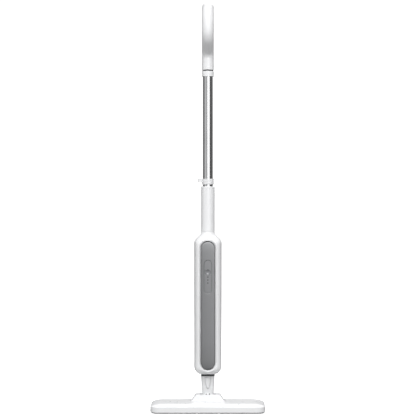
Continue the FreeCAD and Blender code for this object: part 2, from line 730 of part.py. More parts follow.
def tank_prism(grow, y0, y1):
    """A tall rounded rectangle of the tank's outline, extruded along Y."""
    x = TANK_HALF_X + grow
    low = TANK_LOW_Z - grow
    high = TANK_HIGH_Z + grow
    corner = TANK_CORNER + grow
    return prism_y([(-x, low, corner), (x, low, corner), (x, high, corner), (-x, high, corner)], y0, y1)


def make_body_rear_shell():
    """The back half of the body, with the dock that the water tank slides into."""
    outer = body_solid(0.0)
    half = outer.common(between(0, 600, 0, FAR))
    dock = tank_prism(TANK_GAP + DOCK_WALL, DOCK_FLOOR_Y, 60.0).common(outer)
    pieces = [half.cut(body_hollow()), dock]
    for x, z in BODY_SCREW_PLACES:
        pieces.append(cyl_y(4.6, 0.0, 42.0, x, z).common(body_solid(BODY_WALL / 2)))
    shell = fuse_all(pieces)
    shell = shell.cut([tank_prism(TANK_GAP, DOCK_FLOOR_Y + DOCK_WALL, 60.0), neck_opening()])
    shell = shell.cut(cyl_y(VALVE_RADIUS + 0.8, 0, 20, 0, VALVE_Z))
    shell = shell.cut(cyl_y(6.45, 30, 60, 0, CORD_INLET_Z))
    for x, z in BODY_SCREW_PLACES:
        shell = shell.cut(cyl_y(SCREW_RADIUS + 0.3, -1.0, 60, x, z))
        shell = shell.cut(cyl_y(SCREW_HEAD_RADIUS + 0.4, 26.0, 60, x, z))
    return shell


def make_body_screws():
    places = [V(x, 26.02, z) for x, z in BODY_SCREW_PLACES]
    return Part.makeCompound([screw(SCREW_RADIUS, SCREW_HEAD_RADIUS, 2.0, 44.0, p, V(0, -1, 0)) for p in places])


def make_front_panel():
    """The grey panel that fills the recess, with the opening for the control insert."""
    layer = body_layer(PANEL_SINK, PANEL_BACK, -FAR, -15.0)
    gap = (SEAT_WIDTH - PANEL_WIDTH) / 2
    panel = layer.common(pill_y(PANEL_WIDTH, SEAT_LOW_Z + gap, SEAT_HIGH_Z - gap, -FAR, -15.0))
    return panel.cut(pill_y(CONTROL_WIDTH + 0.5, CONTROL_LOW_Z - 0.25, CONTROL_HIGH_Z + 0.25, -FAR, -15.0))


def make_control_insert():
    """The pill-shaped insert around the button and the indicator lights."""
    layer = body_layer(PANEL_SINK, CONTROL_BACK, -FAR, -15.0)
    insert = layer.common(pill_y(CONTROL_WIDTH, CONTROL_LOW_Z, CONTROL_HIGH_Z, -FAR, -15.0))
    insert = insert.cut(cyl_y(MODE_BUTTON_RADIUS + 0.35, -60, -20, 0, MODE_BUTTON_Z))
    for z in INDICATOR_Z:
        insert = insert.cut(cyl_y(INDICATOR_RADIUS + 0.05, -60, -20, 0, z))
    return insert


def make_mode_button():
    """The round push button with its dished face, and the stem that reaches the switch."""
    face_y = -BODY_HALF_Y + PANEL_SINK
    cap = cyl_y(MODE_BUTTON_RADIUS, face_y, -39.3, 0, MODE_BUTTON_Z)
    dish = Part.makeSphere(DISH_RADIUS, V(0, face_y - DISH_RADIUS + 1.6, MODE_BUTTON_Z))
    stem = cyl_y(3.8, -39.4, -37.6, 0, MODE_BUTTON_Z)
    return fuse_all([cap, stem]).cut(dish)


def make_indicator_lenses():
    face_y = -BODY_HALF_Y + PANEL_SINK + 0.1
    return Part.makeCompound([cyl_y(INDICATOR_RADIUS, face_y, -34.0, 0, z) for z in INDICATOR_Z])


def make_control_board():
    """The circuit board behind the panel, with its three lights and a few tall components."""
    board = box(-15, 15, -33.2, -31.6, 332, 442)
    shapes = [board, box(-12, -2, -31.7, -27.0, 410, 424), box(3, 12, -31.7, -29.0, 340, 352)]
    for z in INDICATOR_Z:
        shapes.append(box(-1.5, 1.5, -33.9, -33.1, z - 1.5, z + 1.5))
    return fuse_all(shapes)


def make_push_switch():
    case = box(-3, 3, -35.2, -33.25, MODE_BUTTON_Z - 3, MODE_BUTTON_Z + 3)
    return fuse_all([case, cyl_y(1.5, -36.2, -35.0, 0, MODE_BUTTON_Z)])


def make_boiler():
    """The cast heater block, with a water inlet on top and a steam outlet below."""
    sx, sy, sz = BOILER_SIZE
    cx, cy, cz = BOILER_CENTRE
    block = box(cx - sx / 2, cx + sx / 2, cy - sy / 2, cy + sy / 2, cz - sz / 2, cz + sz / 2)
    upright = [edge for edge in block.Edges if abs(edge.Vertexes[0].Z - edge.Vertexes[-1].Z) > 1]
    block = block.makeFillet(4.0, upright)
    inlet = cyl_z(HOSE_RADIUS, cz + sz / 2 - 1, cz + sz / 2 + 8, 0, PUMP_Y)
    outlet = cyl_z(HOSE_RADIUS, cz - sz / 2 - 4, cz - sz / 2 + 1, 0, STEAM_OUTLET_Y)
    return fuse_all([block, inlet, outlet])


def make_boiler_terminals():
    top = BOILER_CENTRE[2] + BOILER_SIZE[2] / 2
    return both_sides(box(13, 13.8, -19.2, -12.8, top + 0.02, top + 10))


def make_thermal_guards():
    """The thermostat disc and the thermal fuse, clamped to the boiler's back face."""
    back_y = BOILER_CENTRE[1] + BOILER_SIZE[1] / 2
    disc = fuse_all([cyl_y(8.0, back_y + 0.02, back_y + 3.0, 0, 222), cyl_y(5.0, back_y + 2.9, back_y + 5.5, 0, 222)])
    fuse = cyl_z(1.8, 160, 178, -12, back_y + 1.85)
    return Part.makeCompound([disc, fuse])


def make_pump():
    """The small water pump, with a nipple at each end."""
    can = cyl_z(PUMP_RADIUS, PUMP_LOW_Z, PUMP_HIGH_Z, 0, PUMP_Y)
    nipple = cyl_z(HOSE_BORE - 0.05, PUMP_LOW_Z - 9, PUMP_HIGH_Z + 9, 0, PUMP_Y)
    collar = cyl_z(7.0, PUMP_LOW_Z - 3, PUMP_HIGH_Z + 3, 0, PUMP_Y)
    return fuse_all([can, nipple, collar])


def make_pump_mounts():
    """Two rubber rings that hold the pump."""
    rings = [ring_z(PUMP_RADIUS + 3.0, PUMP_RADIUS + 0.03, z, z + 6.0, 0, PUMP_Y) for z in (291.0, 333.0)]
    return Part.makeCompound(rings)


def make_tank_receiver():
    """The socket on the dock's floor that the tank's valve plugs into."""
    tube = cyl_y(7.4, 1.0, DOCK_FLOOR_Y - 0.05, 0, VALVE_Z)
    flange = cyl_y(10.0, DOCK_FLOOR_Y - 2.0, DOCK_FLOOR_Y - 0.05, 0, VALVE_Z)
    port = cyl_x(HOSE_BORE - 0.05, 5.0, 14.0, 4.5, VALVE_Z)
    return fuse_all([tube, flange, port]).cut(cyl_y(VALVE_RADIUS + 0.4, 3.0, 20.0, 0, VALVE_Z))


def make_water_hose():
    """From the tank receiver, up the side of the body, to the top of the pump."""
    points = [
        V(8.0, 4.5, VALVE_Z),
        V(29.0, 4.5, VALVE_Z),
        V(29.0, 4.5, 366.0),
        V(0.0, PUMP_Y, 366.0),
        V(0.0, PUMP_Y, 348.5),
    ]
    return hose(points, 8.0)


def make_pump_hose():
    top = BOILER_CENTRE[2] + BOILER_SIZE[2] / 2 + 8.05
    return ring_z(HOSE_RADIUS, HOSE_BORE, top, PUMP_LOW_Z - 3.1, 0, PUMP_Y)


def make_steam_hose():
    """From the bottom of the boiler down into the neck."""
    low = BOILER_CENTRE[2] - BOILER_SIZE[2] / 2 - 4.05
    outlet = V(0, STEAM_OUTLET_Y, low)
    return hose([outlet, V(0, STEAM_OUTLET_Y, low - 7.0), V(0, 0, low - 17.0), V(0, 0, 104.1)], 5.0)


def make_cord_inlet_bush():
    """The rubber bush that the mains lead would enter through."""
    flange = cyl_y(8.2, 43.1, 45.4, 0, CORD_INLET_Z)
    neck = cyl_y(6.3, 37.0, 43.2, 0, CORD_INLET_Z)
    return fuse_all([flange, neck]).cut(cyl_y(CORD_INLET_RADIUS, 30, 60, 0, CORD_INLET_Z))


# ---- water tank ----
def make_water_tank():
    """The tank that docks in the back of the body: a hollow box whose back follows the body."""
    keep = between(0, 600, TANK_FRONT_Y, FAR)
    outer = tank_prism(0.0, TANK_FRONT_Y, 80.0).common(body_solid(-TANK_BULGE))
    inner = tank_prism(-TANK_WALL, TANK_FRONT_Y + TANK_WALL, 80.0).common(body_solid(TANK_WALL - TANK_BULGE))
    cap_seat = cyl_y(CAP_RADIUS + 3.0, CAP_SEAT_Y - TANK_WALL, 60, 0, CAP_Z).common(outer)
    tank = fuse_all([outer.common(keep).cut(inner), cap_seat])
    tank = tank.cut(cyl_y(CAP_RADIUS + 1.0, CAP_SEAT_Y, 60, 0, CAP_Z))
    tank = tank.cut(cyl_y(FILLER_RADIUS, 30, 60, 0, CAP_Z))
    return tank.cut(cyl_y(VALVE_RADIUS + 0.03, 0, 20, 0, VALVE_Z))


def make_tank_valve():
    front = cyl_y(VALVE_RADIUS, 5.0, TANK_FRONT_Y + TANK_WALL + 1.5, 0, VALVE_Z)
    inner_y = TANK_FRONT_Y + TANK_WALL + 0.05
    flange = cyl_y(8.0, inner_y, inner_y + 1.5, 0, VALVE_Z)
    return fuse_all([front, flange]).cut(cyl_y(2.0, 0, 30, 0, VALVE_Z))


def make_tank_cap():
    """The quarter-turn cap on the tank's filler, with a bar to grip."""
    disc = cyl_y(CAP_RADIUS, CAP_SEAT_Y + 0.9, 48.6, 0, CAP_Z)
    plug = cyl_y(FILLER_RADIUS - 0.4, 38.5, CAP_SEAT_Y + 1.0, 0, CAP_Z)
    bar = prism_y([(-11, CAP_Z - 2.6, 2), (11, CAP_Z - 2.6, 2), (11, CAP_Z + 2.6, 2), (-11, CAP_Z + 2.6, 2)], 48.5, 52.0)
    return fuse_all([disc, plug, bar])


def make_cap_seal():
    return ring_y(13.0, FILLER_RADIUS + 0.1, CAP_SEAT_Y + 0.05, CAP_SEAT_Y + 0.85, 0, CAP_Z)


# ---- socket, tube and clip ----
def make_tube_socket():
    """The white sleeve above the body that the steel tube plugs into."""
    upper = cyl_z(SOCKET_RADIUS, BODY_TOP_Z + SOCKET_FOOT_GAP, SOCKET_TOP_Z)
    rim = [edge for edge in upper.Edges if edge.BoundBox.ZMin > SOCKET_TOP_Z - 0.1]
    upper = upper.makeChamfer(1.6, rim)
    spigot = cyl_z(SOCKET_SPIGOT_RADIUS, 488.0, BODY_TOP_Z + 1.0)
    socket = fuse_all([upper, spigot])
    socket = socket.cut(cyl_z(SOCKET_BORE, TUBE_LOW_Z - 1.0, SOCKET_TOP_Z + 5))
    socket = socket.cut(cyl_z(12.0, 480.0, 520.0))
    groove = ring_z(SOCKET_RADIUS + 1.0, SOCKET_RADIUS - 0.4, SOCKET_TOP_Z - 6.2, SOCKET_TOP_Z - 5.5)
    return socket.cut([groove, cyl_y(4.15, 0, 30, 0, LOCK_Z)])


def make_steel_tube():
    tube = ring_z(TUBE_RADIUS, TUBE_RADIUS - TUBE_WALL, TUBE_LOW_Z, TUBE_HIGH_Z)
    return tube.cut(cyl_y(4.15, 0, 30, 0, LOCK_Z))


def make_tube_lock_button():
    """The snap button that holds the tube in its socket, at the back."""
    stud = cyl_y(3.85, 11.5, 20.4, 0, LOCK_Z)
    stud = stud.makeFillet(1.0, [edge for edge in stud.Edges if edge.BoundBox.YMin > 20.3])
    return fuse_all([stud, cyl_y(5.5, 9.9, 11.6, 0, LOCK_Z)])


def make_lock_spring():
    """The folded leaf inside the tube that pushes the snap button out."""
    half = 3.0
    leaf = 0.5
    path = [(9.7, LOCK_Z + 6), (9.7, LOCK_Z - 14), (0.0, LOCK_Z - 26), (-10.5, LOCK_Z - 14), (-10.5, LOCK_Z + 10)]
    outside = [(y, z) for y, z in path]
    inside = [(y * (1 - leaf / 6), z + (leaf if k in (1, 2, 3) else 0)) for k, (y, z) in enumerate(path)]
    return prism_x(outside + inside[::-1], -half, half)


def make_cord_clip():
    """The clip ring round the tube, with an open hook that holds the mains lead."""
    ring = cyl_z(CLIP_RADIUS, CLIP_LOW_Z, CLIP_HIGH_Z)
    low_rim = [edge for edge in ring.Edges if edge.BoundBox.ZMax < CLIP_LOW_Z + 0.1]
    ring = ring.makeFillet(2.0, low_rim)
    hook_low, hook_high = CLIP_HIGH_Z - 8.8, CLIP_HIGH_Z - 0.3
    hook = cyl_z(CLIP_HOOK_RADIUS, hook_low, hook_high, CLIP_HOOK_X)
    web = box(CLIP_HOOK_X, -10.0, -3.4, 3.4, hook_low, hook_high)
    clip = fuse_all([ring, hook, web])
    clip = clip.cut(cyl_z(TUBE_RADIUS + 0.06, 600, 700))
    clip = clip.cut(cyl_z(CLIP_HOOK_BORE, 600, 700, CLIP_HOOK_X))
    clip = clip.cut(box(CLIP_HOOK_X - 2.6, CLIP_HOOK_X + 2.6, 0, 20, 600, 700))
    for z in (CLIP_LOW_Z + 5.0, CLIP_LOW_Z + 9.0, CLIP_LOW_Z + 13.0):
        clip = clip.cut(ring_z(CLIP_RADIUS + 1.0, CLIP_RADIUS - 0.4, z, z + 0.9).common(box(-15.9, 30, -30, 30, 600, 700)))
    return clip


def make_handle_collar():
    collar = cyl_z(GRIP_RADIUS, COLLAR_LOW_Z, COLLAR_HIGH_Z)
    collar = collar.makeFillet(0.8, [e for e in collar.Edges if len(e.Vertexes) == 1])
    return collar.cut(cyl_z(TUBE_RADIUS + 0.03, 900, 1000))


def make_handle_gasket():
    return ring_z(15.3, TUBE_RADIUS + 0.03, COLLAR_HIGH_Z + 0.02, HANDLE_LOW_Z - 0.02)


# ---- handle ----
def loop_points():
    """The points where the front limb's centre line changes from one run or arc to the next, as (y, z)."""
    k = math.sqrt(0.5)
    bend_end = (-NECK_BEND_RADIUS * (1 - k), NECK_BEND_Z + NECK_BEND_RADIUS * k)
    belly_centre = (BELLY_Y + BELLY_RADIUS, BELLY_Z)
    belly_start = (belly_centre[0] - BELLY_RADIUS * k, BELLY_Z - BELLY_RADIUS * k)
    back_centre_y = BELLY_Y + BACK_RADIUS
    angle = math.atan2(CROWN_Z - BELLY_Z, back_centre_y)
    crown_start = (back_centre_y - BACK_RADIUS * math.cos(angle), BELLY_Z + BACK_RADIUS * math.sin(angle))
    return bend_end, belly_start, (BELLY_Y, BELLY_Z), crown_start, (0.0, CROWN_Z + CROWN_RADIUS)


def point_on(centre_y, centre_z, radius, start, end):
    """The point of a circle halfway between two directions, as (y, z)."""
    a0 = math.atan2(start[1] - centre_z, start[0] - centre_y) % (2 * math.pi)
    a1 = math.atan2(end[1] - centre_z, end[0] - centre_y) % (2 * math.pi)
    middle = (a0 + a1) / 2
    return centre_y + radius * math.cos(middle), centre_z + radius * math.sin(middle)


def loop_arcs():
    """The belly, back and crown arcs of the front limb, each as three (y, z) points."""
    bend_end, belly_start, belly, crown_start, top = loop_points()
    belly_mid = point_on(BELLY_Y + BELLY_RADIUS, BELLY_Z, BELLY_RADIUS, belly_start, belly)
    back_mid = point_on(BELLY_Y + BACK_RADIUS, BELLY_Z, BACK_RADIUS, belly, crown_start)
    crown_mid = point_on(0.0, CROWN_Z, CROWN_RADIUS, crown_start, top)
    return [(belly_start, belly_mid, belly), (belly, back_mid, crown_start), (crown_start, crown_mid, top)]


def limb_wire(low_z):
    """The front limb's centre line, from the neck up to the crown."""
    bend_end, belly_start, belly, crown_start, top = loop_points()
    angle = math.radians(22.5)
    bend_mid = V(0, -NECK_BEND_RADIUS * (1 - math.cos(angle)), NECK_BEND_Z + NECK_BEND_RADIUS * math.sin(angle))
    edges = [
        Part.LineSegment(V(0, 0, low_z), V(0, 0, NECK_BEND_Z)).toShape(),
        arc_through(V(0, 0, NECK_BEND_Z), bend_mid, V(0, *bend_end)),
        Part.LineSegment(V(0, *bend_end), V(0, *belly_start)).toShape(),
    ]
    for arc in loop_arcs():
        edges.append(arc_through(*[V(0, y, z) for y, z in arc]))
    edges.append(Part.LineSegment(V(0, *top), V(0, CROWN_OVERRUN, top[1])).toShape())
    return Part.Wire(edges)


def loop_solid(radius, low_z):
    """The neck and the closed loop as a solid bar, made of a front half and its mirror image."""
    front = sweep_circle(limb_wire(low_z), radius, V(0, 0, low_z), Z_AXIS)
    front = front.common(box(-FAR, FAR, -FAR, 0, 0, 2000))
    return fuse_all([front, front.mirror(V(0, 0, 0), Y_AXIS)])


def loop_core():
    """Everything inside the loop's middle surface: it parts the inner shell from the outer one."""
    bend_end, belly_start, belly, crown_start, top = loop_points()
    crotch_z = belly_start[1] + belly_start[0]
    edges = [Part.LineSegment(V(0, 0, crotch_z), V(0, *belly_start)).toShape()]
    for arc in loop_arcs():
        edges.append(arc_through(*[V(0, y, z) for y, z in arc]))
    front = Part.Wire(edges)
    rear = front.mirror(V(0, 0, 0), Y_AXIS)
    face = Part.Face(Part.Wire(Part.__sortEdges__(front.Edges + rear.Edges)))
    face.translate(V(-30, 0, 0))
    return face.extrude(V(60, 0, 0))


def handle_posts(radius, near, far):
    """Round posts across the front limb, the rear limb and the crown, measured from the centre line."""
    front = cyl_y(radius, BELLY_Y + near, BELLY_Y + far, 0, BELLY_Z)
    rear = cyl_y(radius, -BELLY_Y - far, -BELLY_Y - near, 0, BELLY_Z)
    top_z = CROWN_Z + CROWN_RADIUS
    crown = cyl_z(radius, top_z - far, top_z - near)
    return [front, rear, crown]


def handle_shell():
    outer = loop_solid(GRIP_RADIUS, HANDLE_LOW_Z)
    inner = loop_solid(GRIP_RADIUS - GRIP_WALL, HANDLE_LOW_Z - 5.0)
    return outer.cut(inner)


def make_handle_outer_shell():
    """The neck and the outside of the loop, with the posts that the screws bite in."""
    shell = handle_shell().cut(loop_core())
    shell = fuse_all([shell] + handle_posts(4.0, -15.0, -0.2))
    return shell.cut(handle_posts(SCREW_RADIUS + SCREW_FIT, -10.0, 5.0))


def make_handle_inner_shell():
    """The inside of the loop, where the fingers go, with the countersunk screw wells."""
    shell = handle_shell().common(loop_core())
    outer = loop_solid(GRIP_RADIUS, HANDLE_LOW_Z)
    shell = fuse_all([shell] + [post.common(outer) for post in handle_posts(4.4, 0.2, 16.0)])
    return shell.cut(handle_posts(SCREW_RADIUS + 0.3, -5.0, 20.0) + handle_posts(SCREW_HEAD_RADIUS + 0.4, 7.0, 20.0))


def make_handle_screws():
    heads = handle_posts(SCREW_HEAD_RADIUS, 7.05, 9.2)
    shanks = handle_posts(SCREW_RADIUS, -9.0, 7.1)
    return Part.makeCompound([fuse_all([head, shank]) for head, shank in zip(heads, shanks)])


MAKERS = {
    "head_cover": make_head_cover,
    "head_base": make_head_base,
    "head_screws": make_head_screws,
    "mop_pad": make_mop_pad,
    "hook_strips": make_hook_strips,
    "steam_nozzle": make_steam_nozzle,
    "pivot_blocks": make_pivot_blocks,
    "tilt_pins": make_tilt_pins,
    "yoke": make_yoke,
    "yoke_cover": make_yoke_cover,
    "roll_pins": make_roll_pins,
    "ear_screws": make_ear_screws,
    "joint_hose": make_joint_hose,
    "neck_front_shell": make_neck_front_shell,
    "neck_rear_shell": make_neck_rear_shell,
    "neck_seal": make_neck_seal,
    "neck_steam_tube": make_neck_steam_tube,
    "release_button": make_release_button,
    "release_spring": make_release_spring,
    "body_front_shell": make_body_front_shell,
    "body_rear_shell": make_body_rear_shell,
    "body_screws": make_body_screws,
    "front_panel": make_front_panel,
    "control_insert": make_control_insert,
    "mode_button": make_mode_button,
    "indicator_lenses": make_indicator_lenses,
    "control_board": make_control_board,
    "push_switch": make_push_switch,
    "boiler": make_boiler,
    "boiler_terminals": make_boiler_terminals,
    "thermal_guards": make_thermal_guards,
    "pump": make_pump,
    "pump_mounts": make_pump_mounts,
    "tank_receiver": make_tank_receiver,
    "water_hose": make_water_hose,
    "pump_hose": make_pump_hose,
    "steam_hose": make_steam_hose,
    "cord_inlet_bush": make_cord_inlet_bush,
    "water_tank": make_water_tank,
    "tank_valve": make_tank_valve,
    "tank_cap": make_tank_cap,
    "cap_seal": make_cap_seal,
    "tube_socket": make_tube_socket,
    "steel_tube": make_steel_tube,
    "tube_lock_button": make_tube_lock_button,
    "lock_spring": make_lock_spring,
    "cord_clip": make_cord_clip,
    "handle_collar": make_handle_collar,
    "handle_gasket": make_handle_gasket,
    "handle_outer_shell": make_handle_outer_shell,
    "handle_inner_shell": make_handle_inner_shell,
    "handle_screws": make_handle_screws,
}


def main():
    os.makedirs("parts", exist_ok=True)
    for node, make in MAKERS.items():
        shape = make()
        if not shape.isValid():
            print("not valid:", node)
        print(f"{node}: {len(shape.Solids)} solids, {shape.Volume / 1000:.1f} cm3")
        shape.exportStep(os.path.join("parts", node + ".step"))


main()
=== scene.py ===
import json
import math

import bmesh
import bpy
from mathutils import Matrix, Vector, noise


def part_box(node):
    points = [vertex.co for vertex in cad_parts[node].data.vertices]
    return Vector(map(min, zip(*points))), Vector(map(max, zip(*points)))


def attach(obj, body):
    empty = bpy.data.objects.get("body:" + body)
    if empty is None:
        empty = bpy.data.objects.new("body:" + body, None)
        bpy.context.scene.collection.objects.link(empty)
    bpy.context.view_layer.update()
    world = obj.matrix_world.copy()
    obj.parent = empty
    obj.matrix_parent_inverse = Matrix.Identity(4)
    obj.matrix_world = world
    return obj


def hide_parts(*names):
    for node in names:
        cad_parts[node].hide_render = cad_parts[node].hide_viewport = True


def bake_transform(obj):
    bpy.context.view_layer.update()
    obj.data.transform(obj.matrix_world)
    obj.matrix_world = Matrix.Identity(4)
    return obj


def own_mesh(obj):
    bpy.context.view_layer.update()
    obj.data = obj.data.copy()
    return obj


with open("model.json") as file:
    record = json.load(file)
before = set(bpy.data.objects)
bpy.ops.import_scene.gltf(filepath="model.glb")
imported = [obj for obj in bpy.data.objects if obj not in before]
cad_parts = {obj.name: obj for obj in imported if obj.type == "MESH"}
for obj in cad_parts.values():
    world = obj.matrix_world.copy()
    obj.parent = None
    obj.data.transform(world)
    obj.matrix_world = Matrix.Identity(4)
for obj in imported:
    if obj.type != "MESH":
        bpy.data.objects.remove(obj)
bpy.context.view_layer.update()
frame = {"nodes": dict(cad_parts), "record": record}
NODES = frame["nodes"]
MM = 0.001

# The camera stands level in front of the object, a little over four metres away.
CAMERA_PLACE = (0.0004, -4.300, 0.581)
CAMERA_LENS_MM = 129.66
CAMERA_SENSOR_MM = 36.0

# The body's outside: height, half width, half depth and squareness of its sections, in millimetres.
BODY_SECTIONS = [
    (107.0, 27.9, 30.0, 2.8),
    (110.5, 31.5, 34.6, 2.9),
    (115.0, 35.3, 39.4, 3.1),
    (120.0, 38.2, 42.0, 3.3),
    (127.0, 39.2, 43.0, 3.4),
    (133.5, 39.2, 43.0, 3.4),
    (140.0, 39.2, 43.0, 3.4),
    (452.0, 39.2, 43.0, 3.4),
    (458.0, 39.2, 43.0, 3.4),
    (464.0, 39.2, 43.0, 3.4),
    (473.0, 39.2, 42.7, 3.4),
    (482.0, 39.1, 41.6, 3.3),
    (489.0, 36.5, 38.4, 3.1),
    (495.5, 30.8, 32.6, 2.8),
    (501.5, 24.4, 25.8, 2.4),
    (507.0, 20.6, 21.2, 2.1),
    (513.5, 19.6, 19.6, 2.0),
]
BODY_LOW_Z = BODY_SECTIONS[0][0]
BODY_HIGH_Z = BODY_SECTIONS[-1][0]
# The body's straight stretch is the span after this section.
STRAIGHT_SPAN = 6
# The body's rough half width, for the small step that the parting seam makes in the front's edge.
ROUGH_HALF_WIDTH = 40.0
# How finely the front's edge is searched for, and the surface up to it is measured.
EDGE_SEARCH_REACH = 60.0
EDGE_SEARCH_STEPS = 40
RUN_SAMPLES = 240
SKIN_STEPS = 26
# Pills on the front, as half width, lowest and highest z.
RECESS = (25.35, 115.4, 492.7)
PANEL = (19.7, 120.9, 485.0)
CONTROL = (10.75, 339.05, 432.45)
ARC_STEPS = 40
SIDE_STEPS = 90
# The white bevel around the panel: distance inwards from the recess's edge, and depth below the body.
BEVEL_PROFILE = [
    (0.0, 0.0), (0.15, 0.08), (0.4, 0.34), (0.8, 0.85),
    (2.0, 2.4), (3.4, 4.1), (4.5, 5.3), (4.9, 6.2),
]
# How much shallower, and wider, the bevel is at the top of the panel.
BEVEL_TOP_SHALLOWER = 0.28
BEVEL_TOP_WIDER = 0.14
PANEL_SINK = 1.15
PANEL_ROLL = 3.2
PANEL_ROLL_DROP = 1.7
PANEL_ROLL_STEPS = 6
PANEL_EDGE_DEPTH = 3.4
PANEL_RINGS = 44
# The panel's edge round the control strip: distance outwards from the strip, and depth below the panel.
PANEL_INNER_EDGE = [(0.32, 3.2), (0.32, 0.7), (0.46, 0.28), (0.86, 0.0)]
SEAM = 0.28

BUTTON_Z = 398.2
BUTTON_RADIUS = 8.0
BUTTON_RIM_WIDTH = 0.7
BUTTON_DISH_RADIUS = 10.5
BUTTON_DISH_START = 0.1
BUTTON_DISH_STEPS = 14
BUTTON_TURNS = 96
# From the rim to the back of the cap: distance beyond the button's radius, and depth behind its face.
BUTTON_EDGE = [(-0.5, 0.02), (-0.3, 0.0), (-0.08, 0.1), (0.0, 0.35), (0.0, 2.6)]
# The stem: radius, and depth behind the face.
BUTTON_STEM = [(3.8, 2.7), (3.8, 4.2), (0.0, 4.2)]

# The neck's front at two heights: z, and how far it stands in front of the middle plane.
NECK_FRONT_LOW = (54.0, 17.0)
NECK_FRONT_HIGH = (100.3, 19.0)

# The catch on the neck: its outline's corners as x, z and radius, the roll of its edge as distance inwards
# and depth, and its crowned middle.
TONGUE_CORNERS = [
    (-8.0, 97.0, 1.5),
    (8.0, 97.0, 1.5),
    (7.6, 82.0, 12.0),
    (0.0, 56.5, 3.4),
    (-7.6, 82.0, 12.0),
]
TONGUE_EDGE = [(0.35, 3.0), (0.35, 0.8), (0.45, 0.42), (0.7, 0.14), (1.15, 0.0)]
TONGUE_SPINE = (69.0, 92.0)
TONGUE_CROWN = 0.35
TONGUE_CROWN_STEPS = 8
TONGUE_ARC_STEPS = 10
TONGUE_RUN_LENGTH = 1.2

# The hose through the pivots, in millimetres: outer and inner radius, and its lowest and highest z.
HOSE_RADII = (3.5, 2.0)
HOSE_LOW_Z = 9.0
HOSE_HIGH_Z = 63.8
HOSE_STEPS = 56
HOSE_TURNS = 36

PAD_VOXEL = 0.0013
PAD_PILE = 0.00045
# The pile's height: fine loops, as scale, roughness, lacunarity, octaves and weight, over slow clumps, as
# scale and weight.
PILE_LOOPS = (420.0, 0.8, 2.0, 3, 0.5)
PILE_CLUMPS = (90.0, 0.35)
PAD_FLOOR_Z = 0.00005
PAD_CORNER_FRONT = 0.023
PAD_CORNER_REAR = 0.035
SEAM_INSET = 0.007
SEAM_HALF_WIDTH = 0.0022
SEAM_SINK = 0.0011
STITCH_LENGTH = 0.0042

# Painted light in the grey panel's colour: its strength at shares of the height, with painted shade low down
# and a painted highlight at the top, and a painted reflection that makes it grow from one side to the other.
PANEL_PAINTED_LIGHT = [(0.0, 0.62), (0.08, 0.84), (0.22, 0.97), (0.8, 1.04), (0.92, 1.14), (1.0, 1.42)]
PANEL_PAINTED_REFLECTION = 0.10

# The strength of the surrounding light on the object, and of the surroundings mirrored in it, by the height
# that a ray points to: a pale floor low down, a dark horizon, and a dim ceiling.
WORLD_LIGHT = [(-1.0, 0.25), (-0.5, 0.25), (0.5, 0.45), (1.0, 0.45)]
WORLD_GLOSS = [(-1.0, 0.5), (-0.46, 0.44), (-0.2, 0.15), (0.0, 0.12), (0.3, 0.18), (1.0, 0.35)]


# Area lights: name, place, the point aimed at, width, height, power, and what they aren't seen by.
AIM = (0.0, 0.0, 0.6)
HEAD_AIM = (0.0, 0.0, 0.02)
LIGHTS = [
    ("key_box", (0.375, -6.6, 6.9), AIM, 5.1, 4.2, 705.0, []),
    ("front_box", (0.62, -2.35, 0.95), AIM, 2.3, 2.0, 23.0, ["diffuse"]),
    ("left_panel", (-2.05, -1.43, 1.1), AIM, 3.0, 2.0, 9.0, ["diffuse"]),
    ("left_fill", (-1.9, -1.7, 1.0), AIM, 2.0, 2.0, 10.0, ["glossy"]),
    ("right_fill", (2.4, -0.9, 1.2), AIM, 1.6, 1.6, 5.0, ["glossy"]),
    ("low_fill", (0.0, -1.0, 0.1), HEAD_AIM, 1.2, 0.15, 0.4, ["glossy", "camera"]),
    ("rear_fill", (0.2, 2.6, 3.0), AIM, 1.8, 1.8, 54.0, []),
]


